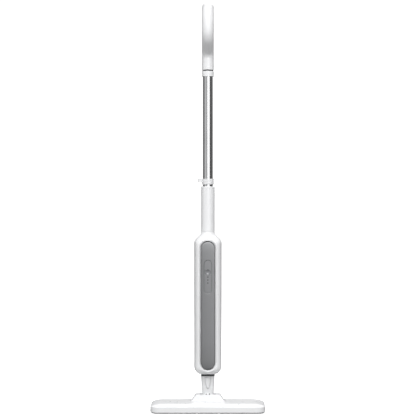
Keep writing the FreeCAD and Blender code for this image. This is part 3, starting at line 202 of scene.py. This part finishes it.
# ---- materials ----
class Nodes:
    """A material's node tree with short calls for the nodes used here."""

    def __init__(self, name):
        self.material = bpy.data.materials.new(name)
        self.material.use_nodes = True
        self.tree = self.material.node_tree
        self.shader = self.tree.nodes["Principled BSDF"]
        self.coords = self.tree.nodes.new("ShaderNodeTexCoord").outputs["Object"]

    def link(self, source, target):
        self.tree.links.new(source, target)

    def mapped(self, scale):
        """Object coordinates stretched by scale, in metres."""
        node = self.tree.nodes.new("ShaderNodeMapping")
        node.inputs["Scale"].default_value = scale
        self.link(self.coords, node.inputs["Vector"])
        return node.outputs["Vector"]

    def noise(self, scale, detail=3.0, roughness=0.5, vector=None):
        node = self.tree.nodes.new("ShaderNodeTexNoise")
        node.inputs["Scale"].default_value = scale
        node.inputs["Detail"].default_value = detail
        node.inputs["Roughness"].default_value = roughness
        self.link(vector or self.coords, node.inputs["Vector"])
        return node.outputs["Fac"]

    def cells(self, scale, vector=None):
        node = self.tree.nodes.new("ShaderNodeTexVoronoi")
        node.inputs["Scale"].default_value = scale
        self.link(vector or self.coords, node.inputs["Vector"])
        return node.outputs["Distance"]

    def spread(self, value, low, high, start=0.3, end=0.7):
        """Value mapped from start..end to low..high."""
        node = self.tree.nodes.new("ShaderNodeMapRange")
        node.inputs["From Min"].default_value = start
        node.inputs["From Max"].default_value = end
        node.inputs["To Min"].default_value = low
        node.inputs["To Max"].default_value = high
        self.link(value, node.inputs["Value"])
        return node.outputs["Result"]

    def colours(self, value, first, second, start=0.3, end=0.7):
        """A colour between two, picked by value."""
        node = self.tree.nodes.new("ShaderNodeValToRGB")
        node.color_ramp.elements[0].position = start
        node.color_ramp.elements[0].color = (*first, 1.0)
        node.color_ramp.elements[1].position = end
        node.color_ramp.elements[1].color = (*second, 1.0)
        self.link(value, node.inputs["Fac"])
        return node.outputs["Color"]

    def product(self, first, second):
        """Two colours multiplied."""
        mix = self.tree.nodes.new("ShaderNodeMix")
        mix.data_type = "RGBA"
        mix.blend_type = "MULTIPLY"
        mix.inputs["Factor"].default_value = 1.0
        self.link(first, mix.inputs["A"])
        self.link(second, mix.inputs["B"])
        return mix.outputs["Result"]

    def with_painted_light(self, tint, painted_light_levels):
        """The colour with painted light: painted shade and highlight by height, and a painted reflection by
        place across the front panel.
        """
        split = self.tree.nodes.new("ShaderNodeSeparateXYZ")
        self.link(self.coords, split.inputs["Vector"])
        height = self.spread(split.outputs["Z"], 0.0, 1.0, PANEL[1] * MM, PANEL[2] * MM)
        ramp = self.tree.nodes.new("ShaderNodeValToRGB")
        elements = ramp.color_ramp.elements
        while len(elements) < len(painted_light_levels):
            elements.new(0.5)
        for element, (place, strength) in zip(elements, painted_light_levels):
            element.position = place
            element.color = (strength / 2, strength / 2, strength / 2, 1.0)
        self.link(height, ramp.inputs["Fac"])
        # Painted reflection: the colour grows brighter from one side of the panel to the other.
        low, high = 2 - 2 * PANEL_PAINTED_REFLECTION, 2 + 2 * PANEL_PAINTED_REFLECTION
        across = self.spread(split.outputs["X"], low, high, -PANEL[0] * MM, PANEL[0] * MM)
        return self.product(self.product(tint, ramp.outputs["Color"]), across)

    def bump(self, height, strength, distance, before=None):
        node = self.tree.nodes.new("ShaderNodeBump")
        node.inputs["Strength"].default_value = strength
        node.inputs["Distance"].default_value = distance
        self.link(height, node.inputs["Height"])
        if before is not None:
            self.link(before, node.inputs["Normal"])
        return node.outputs["Normal"]


def shade(colour, factor):
    return tuple(min(1.0, channel * factor) for channel in colour)


def plastic(name, colour, roughness, grain=0.00004, grain_scale=2600.0, coat=0.0, mottle=0.015, painted_light_levels=None):
    """Moulded plastic: a fine grain, slow waves of roughness as from handling, and a faint mottle.

    The painted-light table, when given, sets the colour's strength at heights between the bottom and the top
    of the front panel: painted shade low down, a painted highlight at the top.
    """
    n = Nodes(name)
    smudge = n.noise(14.0, 4.0, 0.6)
    tint = n.colours(smudge, shade(colour, 1.0 - mottle), shade(colour, 1.0 + mottle))
    # Painted light: shade low down and a highlight at the top, painted into the colour.
    if painted_light_levels is not None:
        tint = n.with_painted_light(tint, painted_light_levels)
    n.link(tint, n.shader.inputs["Base Color"])
    waves = n.noise(38.0, 5.0, 0.65)
    n.link(n.spread(waves, roughness * 0.86, roughness * 1.14), n.shader.inputs["Roughness"])
    sink = n.bump(n.noise(70.0, 2.0, 0.4), 0.25, 0.00006)
    n.link(n.bump(n.noise(grain_scale, 2.0, 0.5), 0.5, grain, sink), n.shader.inputs["Normal"])
    n.shader.inputs["IOR"].default_value = 1.49
    n.shader.inputs["Coat Weight"].default_value = coat
    n.shader.inputs["Coat Roughness"].default_value = 0.12
    return n.material


def metal(name, colour, roughness, streak=(1.0, 1.0, 1.0), streak_scale=900.0, grain=0.00002):
    """Metal with drawn or turned streaks: streak squeezes the pattern across the grain."""
    n = Nodes(name)
    lines = n.noise(streak_scale, 3.0, 0.55, n.mapped(streak))
    stain = n.noise(22.0, 4.0, 0.6)
    n.link(n.colours(stain, shade(colour, 0.95), shade(colour, 1.05)), n.shader.inputs["Base Color"])
    n.link(n.spread(lines, roughness * 0.75, roughness * 1.3), n.shader.inputs["Roughness"])
    n.link(n.bump(lines, 0.35, grain), n.shader.inputs["Normal"])
    n.shader.inputs["Metallic"].default_value = 1.0
    return n.material


def rubber(name, colour, roughness=0.6):
    n = Nodes(name)
    dust = n.noise(55.0, 5.0, 0.7)
    n.link(n.colours(dust, shade(colour, 0.88), shade(colour, 1.15)), n.shader.inputs["Base Color"])
    wear = n.noise(120.0, 3.0, 0.6)
    n.link(n.spread(wear, roughness * 0.85, roughness * 1.15), n.shader.inputs["Roughness"])
    n.link(n.bump(n.noise(1800.0, 3.0, 0.6), 0.5, 0.00006), n.shader.inputs["Normal"])
    n.shader.inputs["Sheen Weight"].default_value = 0.15
    return n.material


def microfibre(name, colour):
    """Looped pile: clumps of fibres with shaded roots, over a slow unevenness from washing."""
    n = Nodes(name)
    loops = n.cells(620.0)
    clumps = n.noise(160.0, 4.0, 0.6)
    tint = n.colours(loops, shade(colour, 1.04), shade(colour, 0.82), 0.1, 0.75)
    wash = n.colours(clumps, shade(colour, 0.9), shade(colour, 1.04))
    n.link(n.product(tint, wash), n.shader.inputs["Base Color"])
    n.link(n.spread(clumps, 0.85, 1.0), n.shader.inputs["Roughness"])
    low = n.bump(clumps, 0.6, 0.0005)
    n.link(n.bump(n.spread(loops, 1.0, 0.0, 0.0, 0.8), 0.8, 0.0007, low), n.shader.inputs["Normal"])
    n.shader.inputs["Sheen Weight"].default_value = 0.4
    n.shader.inputs["Sheen Roughness"].default_value = 0.5
    return n.material


def hook_tape(name, colour):
    n = Nodes(name)
    hooks = n.cells(900.0)
    n.link(n.colours(hooks, shade(colour, 1.1), shade(colour, 0.6), 0.1, 0.7), n.shader.inputs["Base Color"])
    n.link(n.spread(n.noise(300.0), 0.5, 0.7), n.shader.inputs["Roughness"])
    n.link(n.bump(hooks, 0.9, 0.0005), n.shader.inputs["Normal"])
    return n.material


def translucent(name, colour):
    """The water tank: thick tinted plastic, nearly opaque, with flow marks."""
    n = Nodes(name)
    flow = n.noise(9.0, 3.0, 0.5, n.mapped((1.0, 1.0, 0.25)))
    n.link(n.colours(flow, shade(colour, 0.94), shade(colour, 1.05)), n.shader.inputs["Base Color"])
    n.link(n.spread(n.noise(45.0, 4.0, 0.6), 0.14, 0.22), n.shader.inputs["Roughness"])
    n.link(n.bump(n.noise(60.0, 2.0, 0.5), 0.3, 0.00008), n.shader.inputs["Normal"])
    n.shader.inputs["IOR"].default_value = 1.5
    n.shader.inputs["Subsurface Weight"].default_value = 0.35
    n.shader.inputs["Subsurface Radius"].default_value = (0.004, 0.005, 0.006)
    n.shader.inputs["Coat Weight"].default_value = 0.3
    n.shader.inputs["Coat Roughness"].default_value = 0.08
    return n.material


WHITE = (0.84, 0.845, 0.855)
MATERIALS = {
    "white_plastic": plastic("white_plastic", WHITE, 0.30, coat=0.15),
    "pale_cover": plastic("pale_cover", shade(WHITE, 0.99), 0.30, coat=0.15),
    # The neck's white is made darker as painted shade, for the shade that falls on it under the body.
    "neck_plastic": plastic("neck_plastic", shade(WHITE, 0.84), 0.34, coat=0.1),
    "pale_grey_plastic": plastic("pale_grey_plastic", shade(WHITE, 0.88), 0.30, coat=0.1),
    "base_plastic": plastic("base_plastic", (0.46, 0.47, 0.48), 0.5, grain=0.00008),
    # The panel and its control strip carry painted shade, a painted highlight and a painted reflection in
    # their colour.
    "grey_panel": plastic("grey_panel", (0.205, 0.208, 0.214), 0.42, 0.00007, 2000.0, painted_light_levels=PANEL_PAINTED_LIGHT),
    "insert_grey": plastic("insert_grey", (0.212, 0.215, 0.222), 0.40, 0.00007, 2000.0, painted_light_levels=PANEL_PAINTED_LIGHT),
    "button_grey": plastic("button_grey", (0.235, 0.240, 0.250), 0.24, coat=0.3),
    "lens": plastic("lens", (0.02, 0.021, 0.023), 0.2, coat=0.2),
    "microfibre": microfibre("microfibre", (0.86, 0.865, 0.87)),
    "hook_tape": hook_tape("hook_tape", (0.55, 0.55, 0.55)),
    "tank_plastic": translucent("tank_plastic", (0.50, 0.55, 0.60)),
    "steel_tube": metal("steel_tube", (0.74, 0.745, 0.755), 0.12, (0.02, 0.02, 1.0), 1500.0, 0.0000015),
    "dark_rubber": rubber("dark_rubber", (0.045, 0.046, 0.050)),
    "bush_rubber": rubber("bush_rubber", (0.50, 0.50, 0.51), 0.5),
    "soft_silicone": rubber("soft_silicone", (0.66, 0.64, 0.60), 0.35),
    "screw_steel": metal("screw_steel", (0.55, 0.55, 0.57), 0.28, (1.0, 1.0, 1.0), 700.0),
    "dark_screw": metal("dark_screw", (0.10, 0.10, 0.11), 0.38, (1.0, 1.0, 1.0), 700.0),
    "pin_steel": metal("pin_steel", (0.62, 0.62, 0.64), 0.22, (0.1, 1.0, 1.0), 900.0),
    "bearing_plastic": plastic("bearing_plastic", (0.72, 0.71, 0.68), 0.45, grain=0.00006),
    "nozzle_brass": metal("nozzle_brass", (0.72, 0.52, 0.22), 0.24, (1.0, 1.0, 0.3), 800.0),
    "cast_aluminium": metal("cast_aluminium", (0.62, 0.63, 0.64), 0.48, (1.0, 1.0, 1.0), 420.0, 0.0001),
    "guard_steel": metal("guard_steel", (0.56, 0.56, 0.56), 0.32, (1.0, 0.1, 1.0), 800.0),
    "pump_case": plastic("pump_case", (0.02, 0.02, 0.022), 0.45, grain=0.00008),
    "board_green": plastic("board_green", (0.01, 0.13, 0.05), 0.35, grain=0.00005, mottle=0.12),
    "switch_black": plastic("switch_black", (0.012, 0.012, 0.012), 0.4),
}
NODE_SLOT = {part["node"]: part["material_slot"] for part in frame["record"]["subparts"]}
BODY_OF = {node: body for body, members in frame["record"]["behaviour"]["bodies"].items() for node in members}
for node, thing in NODES.items():
    thing.data.materials.clear()
    thing.data.materials.append(MATERIALS[NODE_SLOT[node]])


# ---- mesh helpers ----
def new_object(name, data):
    made = bpy.data.objects.new(name, data)
    bpy.context.scene.collection.objects.link(made)
    return made


def add_piece(name, vertices, faces, stands_for, rides=True):
    """A smooth-shaded piece made from millimetre points, that stands for the CAD node and rides with it."""
    mesh = bpy.data.meshes.new(name)
    mesh.from_pydata([[c * MM for c in v] for v in vertices], [], faces)
    made = bmesh.new()
    made.from_mesh(mesh)
    bmesh.ops.remove_doubles(made, verts=made.verts, dist=0.000002)
    bmesh.ops.dissolve_degenerate(made, edges=made.edges, dist=0.000002)
    made.to_mesh(mesh)
    made.free()
    mesh.shade_smooth()
    piece = new_object(name, mesh)
    finish_piece(piece, stands_for, rides)
    return piece


def finish_piece(piece, stands_for, rides=True):
    """Gives the piece its material, and puts it in the CAD node's place. A piece that blends doesn't ride."""
    slot = NODE_SLOT[stands_for]
    piece.data.materials.clear()
    piece.data.materials.append(MATERIALS[slot])
    if rides:
        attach(piece, BODY_OF[stands_for])
    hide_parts(stands_for)


def grid_faces(rows, columns, closed):
    """Quads between rows of points; closed joins each row's last point to its first."""
    faces = []
    for r in range(rows - 1):
        for c in range(columns if closed else columns - 1):
            d = (c + 1) % columns
            faces.append((r * columns + c, r * columns + d, (r + 1) * columns + d, (r + 1) * columns + c))
    return faces


def pill_outline(half, low_z, high_z):
    """Points (x, z) around a pill with their outward normals, anticlockwise from the top arc's right end."""
    points = []
    top, bottom = high_z - half, low_z + half
    for k in range(ARC_STEPS):
        nx, nz = math.cos(math.pi * k / ARC_STEPS), math.sin(math.pi * k / ARC_STEPS)
        points.append((half * nx, top + half * nz, nx, nz))
    for k in range(SIDE_STEPS):
        points.append((-half, top + (bottom - top) * k / SIDE_STEPS, -1.0, 0.0))
    for k in range(ARC_STEPS):
        angle = math.pi + math.pi * k / ARC_STEPS
        nx, nz = math.cos(angle), math.sin(angle)
        points.append((half * nx, bottom + half * nz, nx, nz))
    for k in range(SIDE_STEPS):
        points.append((half, bottom + (top - bottom) * k / SIDE_STEPS, 1.0, 0.0))
    return points


def section_at(z):
    """The body's half width, half depth and squareness at a height, by smooth interpolation."""
    sections = BODY_SECTIONS
    z = min(max(z, BODY_LOW_Z), BODY_HIGH_Z)
    k = max(i for i in range(len(sections) - 1) if sections[i][0] <= z)
    z0, z1 = sections[k][0], sections[k + 1][0]
    t = (z - z0) / (z1 - z0)
    values = []
    for c in (1, 2, 3):
        slopes = []
        for i in (k, k + 1):
            before = sections[max(i - 1, 0)]
            after = sections[min(i + 1, len(sections) - 1)]
            slopes.append((after[c] - before[c]) / (after[0] - before[0]))
        if k == STRAIGHT_SPAN:
            slopes = [0.0, 0.0]
        p0, p1 = sections[k][c], sections[k + 1][c]
        m0, m1 = slopes[0] * (z1 - z0), slopes[1] * (z1 - z0)
        a, b = t * t * t, t * t
        values.append((2 * a - 3 * b + 1) * p0 + (a - 2 * b + t) * m0 + (3 * b - 2 * a) * p1 + (a - b) * m1)
    return values


def body_depth(x, z):
    """How far the body's surface stands in front of its middle plane at a place."""
    half_x, half_y, power = section_at(z)
    share = min(abs(x) / half_x, 1.0)
    return half_y * (1.0 - share ** power) ** (1.0 / power)


# ---- the body's white front ----
def body_edge(x, z, nx, nz):
    """Where a ray from a point of the recess's outline meets the edge of the body's front, as (x, z)."""
    low, high = 0.0, EDGE_SEARCH_REACH
    for _ in range(EDGE_SEARCH_STEPS):
        middle = (low + high) / 2
        px, pz = x + nx * middle, z + nz * middle
        inside = BODY_LOW_Z <= pz <= BODY_HIGH_Z and abs(px) <= section_at(pz)[0]
        low, high = (middle, high) if inside else (low, middle)
    return x + nx * low, z + nz * low


def even_run(x0, z0, x1, z1, steps):
    """Points (x, y, z) of the body's surface between two places, evenly spaced along the surface."""
    line = []
    for k in range(RUN_SAMPLES + 1):
        t = math.sin(0.5 * math.pi * k / RUN_SAMPLES)
        x, z = x0 + (x1 - x0) * t, z0 + (z1 - z0) * t
        line.append((x, -body_depth(x, z), z))
    lengths = [0.0]
    for a, b in zip(line, line[1:]):
        lengths.append(lengths[-1] + math.dist(a, b))
    points, k = [], 0
    for step in range(steps + 1):
        wanted = lengths[-1] * step / steps
        while k < RUN_SAMPLES - 1 and lengths[k + 1] < wanted:
            k += 1
        span = lengths[k + 1] - lengths[k]
        t = (wanted - lengths[k]) / span if span > 0 else 0.0
        points.append(tuple(a + (b - a) * t for a, b in zip(line[k], line[k + 1])))
    return points


def make_body_front():
    """The white shell round the panel: the bevel, then the skin out to the parting line."""
    outline = pill_outline(*RECESS)
    columns = []
    for x, z, nx, nz in outline:
        column = []
        top = max(nz, 0.0)
        for inwards, depth in reversed(BEVEL_PROFILE):
            inwards *= 1.0 + BEVEL_TOP_WIDER * top
            depth *= 1.0 - BEVEL_TOP_SHALLOWER * top
            px, pz = x - nx * inwards, z - nz * inwards
            column.append((px, -(body_depth(px, pz) - depth), pz))
        ex, ez = body_edge(x, z, nx, nz)
        run = even_run(x, z, ex, ez, SKIN_STEPS)
        end = run[-1]
        column.extend(run[1:-1])
        if end[1] > -1.0:
            column.append((end[0], -SEAM, end[2]))
            column.append((end[0] * (1 - SEAM / ROUGH_HALF_WIDTH), 0.0, end[2]))
        else:
            column.append(end)
            column.append((end[0], 0.0, end[2]))
        columns.append(column)
    rows = len(columns[0])
    vertices = [columns[c][r] for r in range(rows) for c in range(len(columns))]
    return add_piece("body_front_white", vertices, grid_faces(rows, len(columns), True), "body_front_shell")


make_body_front()


# ---- the grey panel ----
def make_panel():
    """The grey panel: flush with the opening for the control strip, and rolled over along its outer edge."""
    outer = pill_outline(*PANEL)
    inner = pill_outline(*CONTROL)
    edge_out = []
    for k in range(PANEL_ROLL_STEPS + 1):
        angle = math.pi / 2 * k / PANEL_ROLL_STEPS
        edge_out.append((PANEL_ROLL * (1 - math.sin(angle)), PANEL_ROLL_DROP * (1 - math.cos(angle))))
    edge_out.append((0.0, PANEL_EDGE_DEPTH))
    columns = []
    for (ox, oz, onx, onz), (ix, iz, inx, inz) in zip(outer, inner):
        column = []
        for out, drop in PANEL_INNER_EDGE:
            x, z = ix + inx * out, iz + inz * out
            column.append((x, -(body_depth(x, z) - PANEL_SINK - drop), z))
        x0, z0 = ix + inx * PANEL_INNER_EDGE[-1][0], iz + inz * PANEL_INNER_EDGE[-1][0]
        x1, z1 = ox - onx * PANEL_ROLL, oz - onz * PANEL_ROLL
        for k in range(1, PANEL_RINGS):
            t = k / PANEL_RINGS
            x, z = x0 + (x1 - x0) * t, z0 + (z1 - z0) * t
            column.append((x, -(body_depth(x, z) - PANEL_SINK), z))
        for inwards, drop in edge_out:
            x, z = ox - onx * inwards, oz - onz * inwards
            column.append((x, -(body_depth(x, z) - PANEL_SINK - drop), z))
        columns.append(column)
    rows = len(columns[0])
    vertices = [columns[c][r] for r in range(rows) for c in range(len(columns))]
    return add_piece("grey_panel_face", vertices, grid_faces(rows, len(columns), True), "front_panel")


make_panel()


# ---- the push button ----
def make_button():
    """A turned cap: a narrow rim, a dished face and the stem behind."""
    face_y = -(body_depth(0, BUTTON_Z) - PANEL_SINK)
    rim = BUTTON_RADIUS - BUTTON_RIM_WIDTH
    sink = BUTTON_DISH_RADIUS - math.sqrt(BUTTON_DISH_RADIUS ** 2 - rim ** 2)
    profile = []
    for k in range(BUTTON_DISH_STEPS + 1):
        r = rim * k / BUTTON_DISH_STEPS
        rise = BUTTON_DISH_RADIUS - math.sqrt(BUTTON_DISH_RADIUS ** 2 - r * r)
        profile.append((r, face_y + BUTTON_DISH_START + sink - rise))
    profile += [(BUTTON_RADIUS + beyond, face_y + depth) for beyond, depth in BUTTON_EDGE]
    profile += [(r, face_y + depth) for r, depth in BUTTON_STEM]
    vertices = []
    for r, y in profile:
        for k in range(BUTTON_TURNS):
            angle = 2 * math.pi * k / BUTTON_TURNS
            vertices.append((r * math.cos(angle), y, BUTTON_Z + r * math.sin(angle)))
    return add_piece("mode_button_cap", vertices, grid_faces(len(profile), BUTTON_TURNS, True), "mode_button")


make_button()


# ---- the release tongue ----
def rounded_outline(corners, arc_steps, run_length):
    """Points (x, z) of a closed outline with rounded corners, each with its outward normal.

    The corners, given as x, z and radius, go clockwise.
    """
    rounds = []
    count = len(corners)
    for k, (x, z, radius) in enumerate(corners):
        corner = Vector((x, z))
        before = Vector(corners[k - 1][:2])
        after = Vector(corners[(k + 1) % count][:2])
        incoming = (corner - before).normalized()
        outgoing = (after - corner).normalized()
        turn = incoming.angle(outgoing)
        reach = radius * math.tan(turn / 2)
        start = corner - incoming * reach
        centre = start + Vector((incoming.y, -incoming.x)) * radius
        rounds.append((start, corner + outgoing * reach, centre, radius, turn, incoming))
    points = []
    for k, (start, end, centre, radius, turn, incoming) in enumerate(rounds):
        normal = Vector((-incoming.y, incoming.x))
        for step in range(arc_steps + 1):
            angle = turn * step / arc_steps
            c, d = math.cos(-angle), math.sin(-angle)
            out = Vector((normal.x * c - normal.y * d, normal.x * d + normal.y * c))
            place = centre + out * radius
            points.append((place.x, place.y, out.x, out.y))
        following = rounds[(k + 1) % count][0]
        run = (following - end).length
        steps = max(1, int(run / run_length))
        for step in range(1, steps):
            place = end.lerp(following, step / steps)
            points.append((place.x, place.y, out.x, out.y))
    return points


def neck_front(z):
    """How far the neck's flat front stands in front of the middle plane at a height."""
    (low_z, low_y), (high_z, high_y) = NECK_FRONT_LOW, NECK_FRONT_HIGH
    return low_y + (high_y - low_y) * max(z - low_z, 0.0) / (high_z - low_z)


def make_tongue():
    """The catch on the neck: a crowned tongue with a rolled edge."""
    outline = rounded_outline(TONGUE_CORNERS, TONGUE_ARC_STEPS, TONGUE_RUN_LENGTH)
    columns = []
    for x, z, nx, nz in outline:
        column = []
        for inwards, drop in TONGUE_EDGE:
            px, pz = x - nx * inwards, z - nz * inwards
            column.append((px, -(neck_front(pz) - drop), pz))
        x0, z0 = x - nx * TONGUE_EDGE[-1][0], z - nz * TONGUE_EDGE[-1][0]
        z1 = min(max(z0, TONGUE_SPINE[0]), TONGUE_SPINE[1])
        for step in range(1, TONGUE_CROWN_STEPS + 1):
            t = step / TONGUE_CROWN_STEPS
            px, pz = x0 * (1 - t), z0 + (z1 - z0) * t
            crown = TONGUE_CROWN * (1 - (1 - t) ** 2)
            column.append((px, -(neck_front(pz) - TONGUE_EDGE[-1][1] + crown), pz))
        columns.append(column)
    rows = len(columns[0])
    vertices = [columns[c][r] for r in range(rows) for c in range(len(columns))]
    return add_piece("release_tongue", vertices, grid_faces(rows, len(columns), True), "release_button")


make_tongue()


# ---- the microfibre pad ----
def sewn_channel(x, y, high):
    """How far the pad's underside is drawn in by the seam along its edge, with the dips of its stitches."""
    corner = PAD_CORNER_FRONT if y < 0 else PAD_CORNER_REAR
    dx = max(abs(x) - (high.x - corner), 0.0)
    dy = max(abs(y) - (high.y - corner), 0.0)
    from_edge = corner - math.hypot(dx, dy) if dx > 0 and dy > 0 else min(high.x - abs(x), high.y - abs(y))
    share = max(0.0, 1.0 - abs(from_edge - SEAM_INSET) / SEAM_HALF_WIDTH)
    along = x if high.y - abs(y) < high.x - abs(x) else y
    stitch = 0.5 + 0.5 * math.sin(2 * math.pi * along / STITCH_LENGTH)
    return SEAM_SINK * share * (0.7 + 0.3 * stitch)


def make_pad():
    """The pad's solid remeshed to soft edges, with its pile and a sewn channel along its underside's edge."""
    source = NODES["mop_pad"]
    low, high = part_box("mop_pad")
    mesh = source.data.copy()
    piece = new_object("microfibre_pad", mesh)
    bpy.context.view_layer.objects.active = piece
    remesh = piece.modifiers.new("remesh", "REMESH")
    remesh.mode = "VOXEL"
    remesh.voxel_size = PAD_VOXEL
    soften = piece.modifiers.new("soften", "SMOOTH")
    soften.factor = 0.5
    soften.iterations = 3
    graph = bpy.context.evaluated_depsgraph_get()
    result = bpy.data.meshes.new_from_object(piece.evaluated_get(graph))
    piece.modifiers.clear()
    piece.data = result
    result.name = "microfibre_pad"
    scale, rough, lacunarity, octaves, weight = PILE_LOOPS
    clump_scale, clump_weight = PILE_CLUMPS
    normals = [v.normal.copy() for v in result.vertices]
    for v, normal in zip(result.vertices, normals):
        pile = noise.fractal(v.co * scale, rough, lacunarity, octaves) * weight
        pile += noise.noise(v.co * clump_scale) * clump_weight
        moved = v.co + normal * PAD_PILE * pile
        if normal.z < -0.5:
            moved.z += sewn_channel(v.co.x, v.co.y, high)
        moved.x = min(max(moved.x, low.x), high.x)
        moved.y = min(max(moved.y, low.y), high.y)
        moved.z = min(max(moved.z, PAD_FLOOR_Z), high.z)
        v.co = moved
    result.shade_smooth()
    finish_piece(piece, "mop_pad")
    return piece


make_pad()


# ---- soft pieces inside ----
def make_joint_hose():
    """The steam hose through both pivots, built as a straight tube that rides with no body."""
    outer, inner = HOSE_RADII
    heights = [HOSE_LOW_Z + (HOSE_HIGH_Z - HOSE_LOW_Z) * k / HOSE_STEPS for k in range(HOSE_STEPS + 1)]
    profile = [(inner, HOSE_LOW_Z)]
    profile += [(outer, z) for z in heights]
    profile += [(inner, z) for z in reversed(heights)]
    vertices = []
    for r, z in profile:
        for k in range(HOSE_TURNS):
            angle = 2 * math.pi * k / HOSE_TURNS
            vertices.append((r * math.cos(angle), r * math.sin(angle), z))
    faces = grid_faces(len(profile), HOSE_TURNS, True)
    piece = add_piece("steam_joint_hose", vertices, faces, "joint_hose", rides=False)
    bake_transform(piece)
    return piece


def make_leaf_spring(name, node):
    """A leaf spring, copied from the CAD node as its own piece in the place where it is held."""
    mesh = NODES[node].data.copy()
    mesh.transform(NODES[node].matrix_world)
    piece = new_object(name, mesh)
    finish_piece(piece, node)
    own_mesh(piece)
    return piece


make_joint_hose()
make_leaf_spring("lock_leaf", "lock_spring")
make_leaf_spring("release_leaf", "release_spring")


# ---- surroundings ----
def add_area(name, place, aim, size_x, size_y, power):
    """A rectangular area light at a place, turned to face the point aimed at."""
    light = bpy.data.lights.new(name, "AREA")
    light.shape = "RECTANGLE"
    light.size = size_x
    light.size_y = size_y
    light.energy = power
    lamp = new_object(name, light)
    lamp.location = place
    lamp.rotation_euler = (Vector(aim) - Vector(place)).to_track_quat("-Z", "Y").to_euler()
    return lamp


def make_floor():
    """The pale studio floor, which gives no light to the object and isn't mirrored in it."""
    mesh = bpy.data.meshes.new("studio_floor")
    half = 30.0
    corners = [(-half, -half, 0), (half, -half, 0), (half, half, 0), (-half, half, 0)]
    mesh.from_pydata(corners, [], [(0, 1, 2, 3)])
    floor = new_object("studio_floor", mesh)
    n = Nodes("studio_floor")
    n.link(n.colours(n.noise(1.2), (0.86, 0.86, 0.86), (0.88, 0.88, 0.88)), n.shader.inputs["Base Color"])
    n.shader.inputs["Roughness"].default_value = 0.9
    n.shader.inputs["Specular IOR Level"].default_value = 0.1
    n.shader.inputs["Emission Color"].default_value = (1.0, 1.0, 1.0, 1.0)
    n.shader.inputs["Emission Strength"].default_value = 0.75
    mesh.materials.append(n.material)
    floor.visible_diffuse = False
    floor.visible_glossy = False


def graded_background(tree, height, levels):
    """A grey background whose brightness changes with the height that a ray points to, from -1 to 1."""
    place = tree.nodes.new("ShaderNodeMapRange")
    place.inputs["From Min"].default_value = -1.0
    place.inputs["From Max"].default_value = 1.0
    tree.links.new(height, place.inputs["Value"])
    ramp = tree.nodes.new("ShaderNodeValToRGB")
    elements = ramp.color_ramp.elements
    while len(elements) < len(levels):
        elements.new(0.5)
    for element, (at, strength) in zip(elements, levels):
        element.position = (at + 1.0) / 2
        element.color = (strength, strength, strength, 1.0)
    tree.links.new(place.outputs["Result"], ramp.inputs["Fac"])
    background = tree.nodes.new("ShaderNodeBackground")
    tree.links.new(ramp.outputs["Color"], background.inputs["Color"])
    return background.outputs["Background"]


def make_world():
    """White behind the object, with a dimmer light on it and dark surroundings in its reflections."""
    world = bpy.data.worlds.new("studio")
    bpy.context.scene.world = world
    world.use_nodes = True
    tree = world.node_tree
    tree.nodes.clear()
    output = tree.nodes.new("ShaderNodeOutputWorld")
    coords = tree.nodes.new("ShaderNodeTexCoord")
    split = tree.nodes.new("ShaderNodeSeparateXYZ")
    tree.links.new(coords.outputs["Generated"], split.inputs["Vector"])
    seen = tree.nodes.new("ShaderNodeBackground")
    seen.inputs["Color"].default_value = (1.0, 1.0, 1.0, 1.0)
    seen.inputs["Strength"].default_value = 1.1
    lit = graded_background(tree, split.outputs["Z"], WORLD_LIGHT)
    mirrored = graded_background(tree, split.outputs["Z"], WORLD_GLOSS)
    path = tree.nodes.new("ShaderNodeLightPath")
    inner = tree.nodes.new("ShaderNodeMixShader")
    tree.links.new(path.outputs["Is Glossy Ray"], inner.inputs["Fac"])
    tree.links.new(lit, inner.inputs[1])
    tree.links.new(mirrored, inner.inputs[2])
    mix = tree.nodes.new("ShaderNodeMixShader")
    tree.links.new(path.outputs["Is Camera Ray"], mix.inputs["Fac"])
    tree.links.new(inner.outputs["Shader"], mix.inputs[1])
    tree.links.new(seen.outputs["Background"], mix.inputs[2])
    tree.links.new(mix.outputs["Shader"], output.inputs["Surface"])


def make_camera():
    data = bpy.data.cameras.new("camera")
    data.lens = CAMERA_LENS_MM
    data.sensor_width = CAMERA_SENSOR_MM
    data.clip_end = 200.0
    camera = new_object("camera", data)
    camera.location = CAMERA_PLACE
    camera.rotation_euler = (math.radians(90.0), 0.0, 0.0)
    bpy.context.scene.camera = camera


make_floor()
make_world()
make_camera()
for name, place, aim, size_x, size_y, power, hidden_from in LIGHTS:
    lamp = add_area(name, place, aim, size_x, size_y, power)
    for kind in hidden_from:
        setattr(lamp, "visible_" + kind, False)
bpy.context.scene.view_settings.view_transform = "Standard"
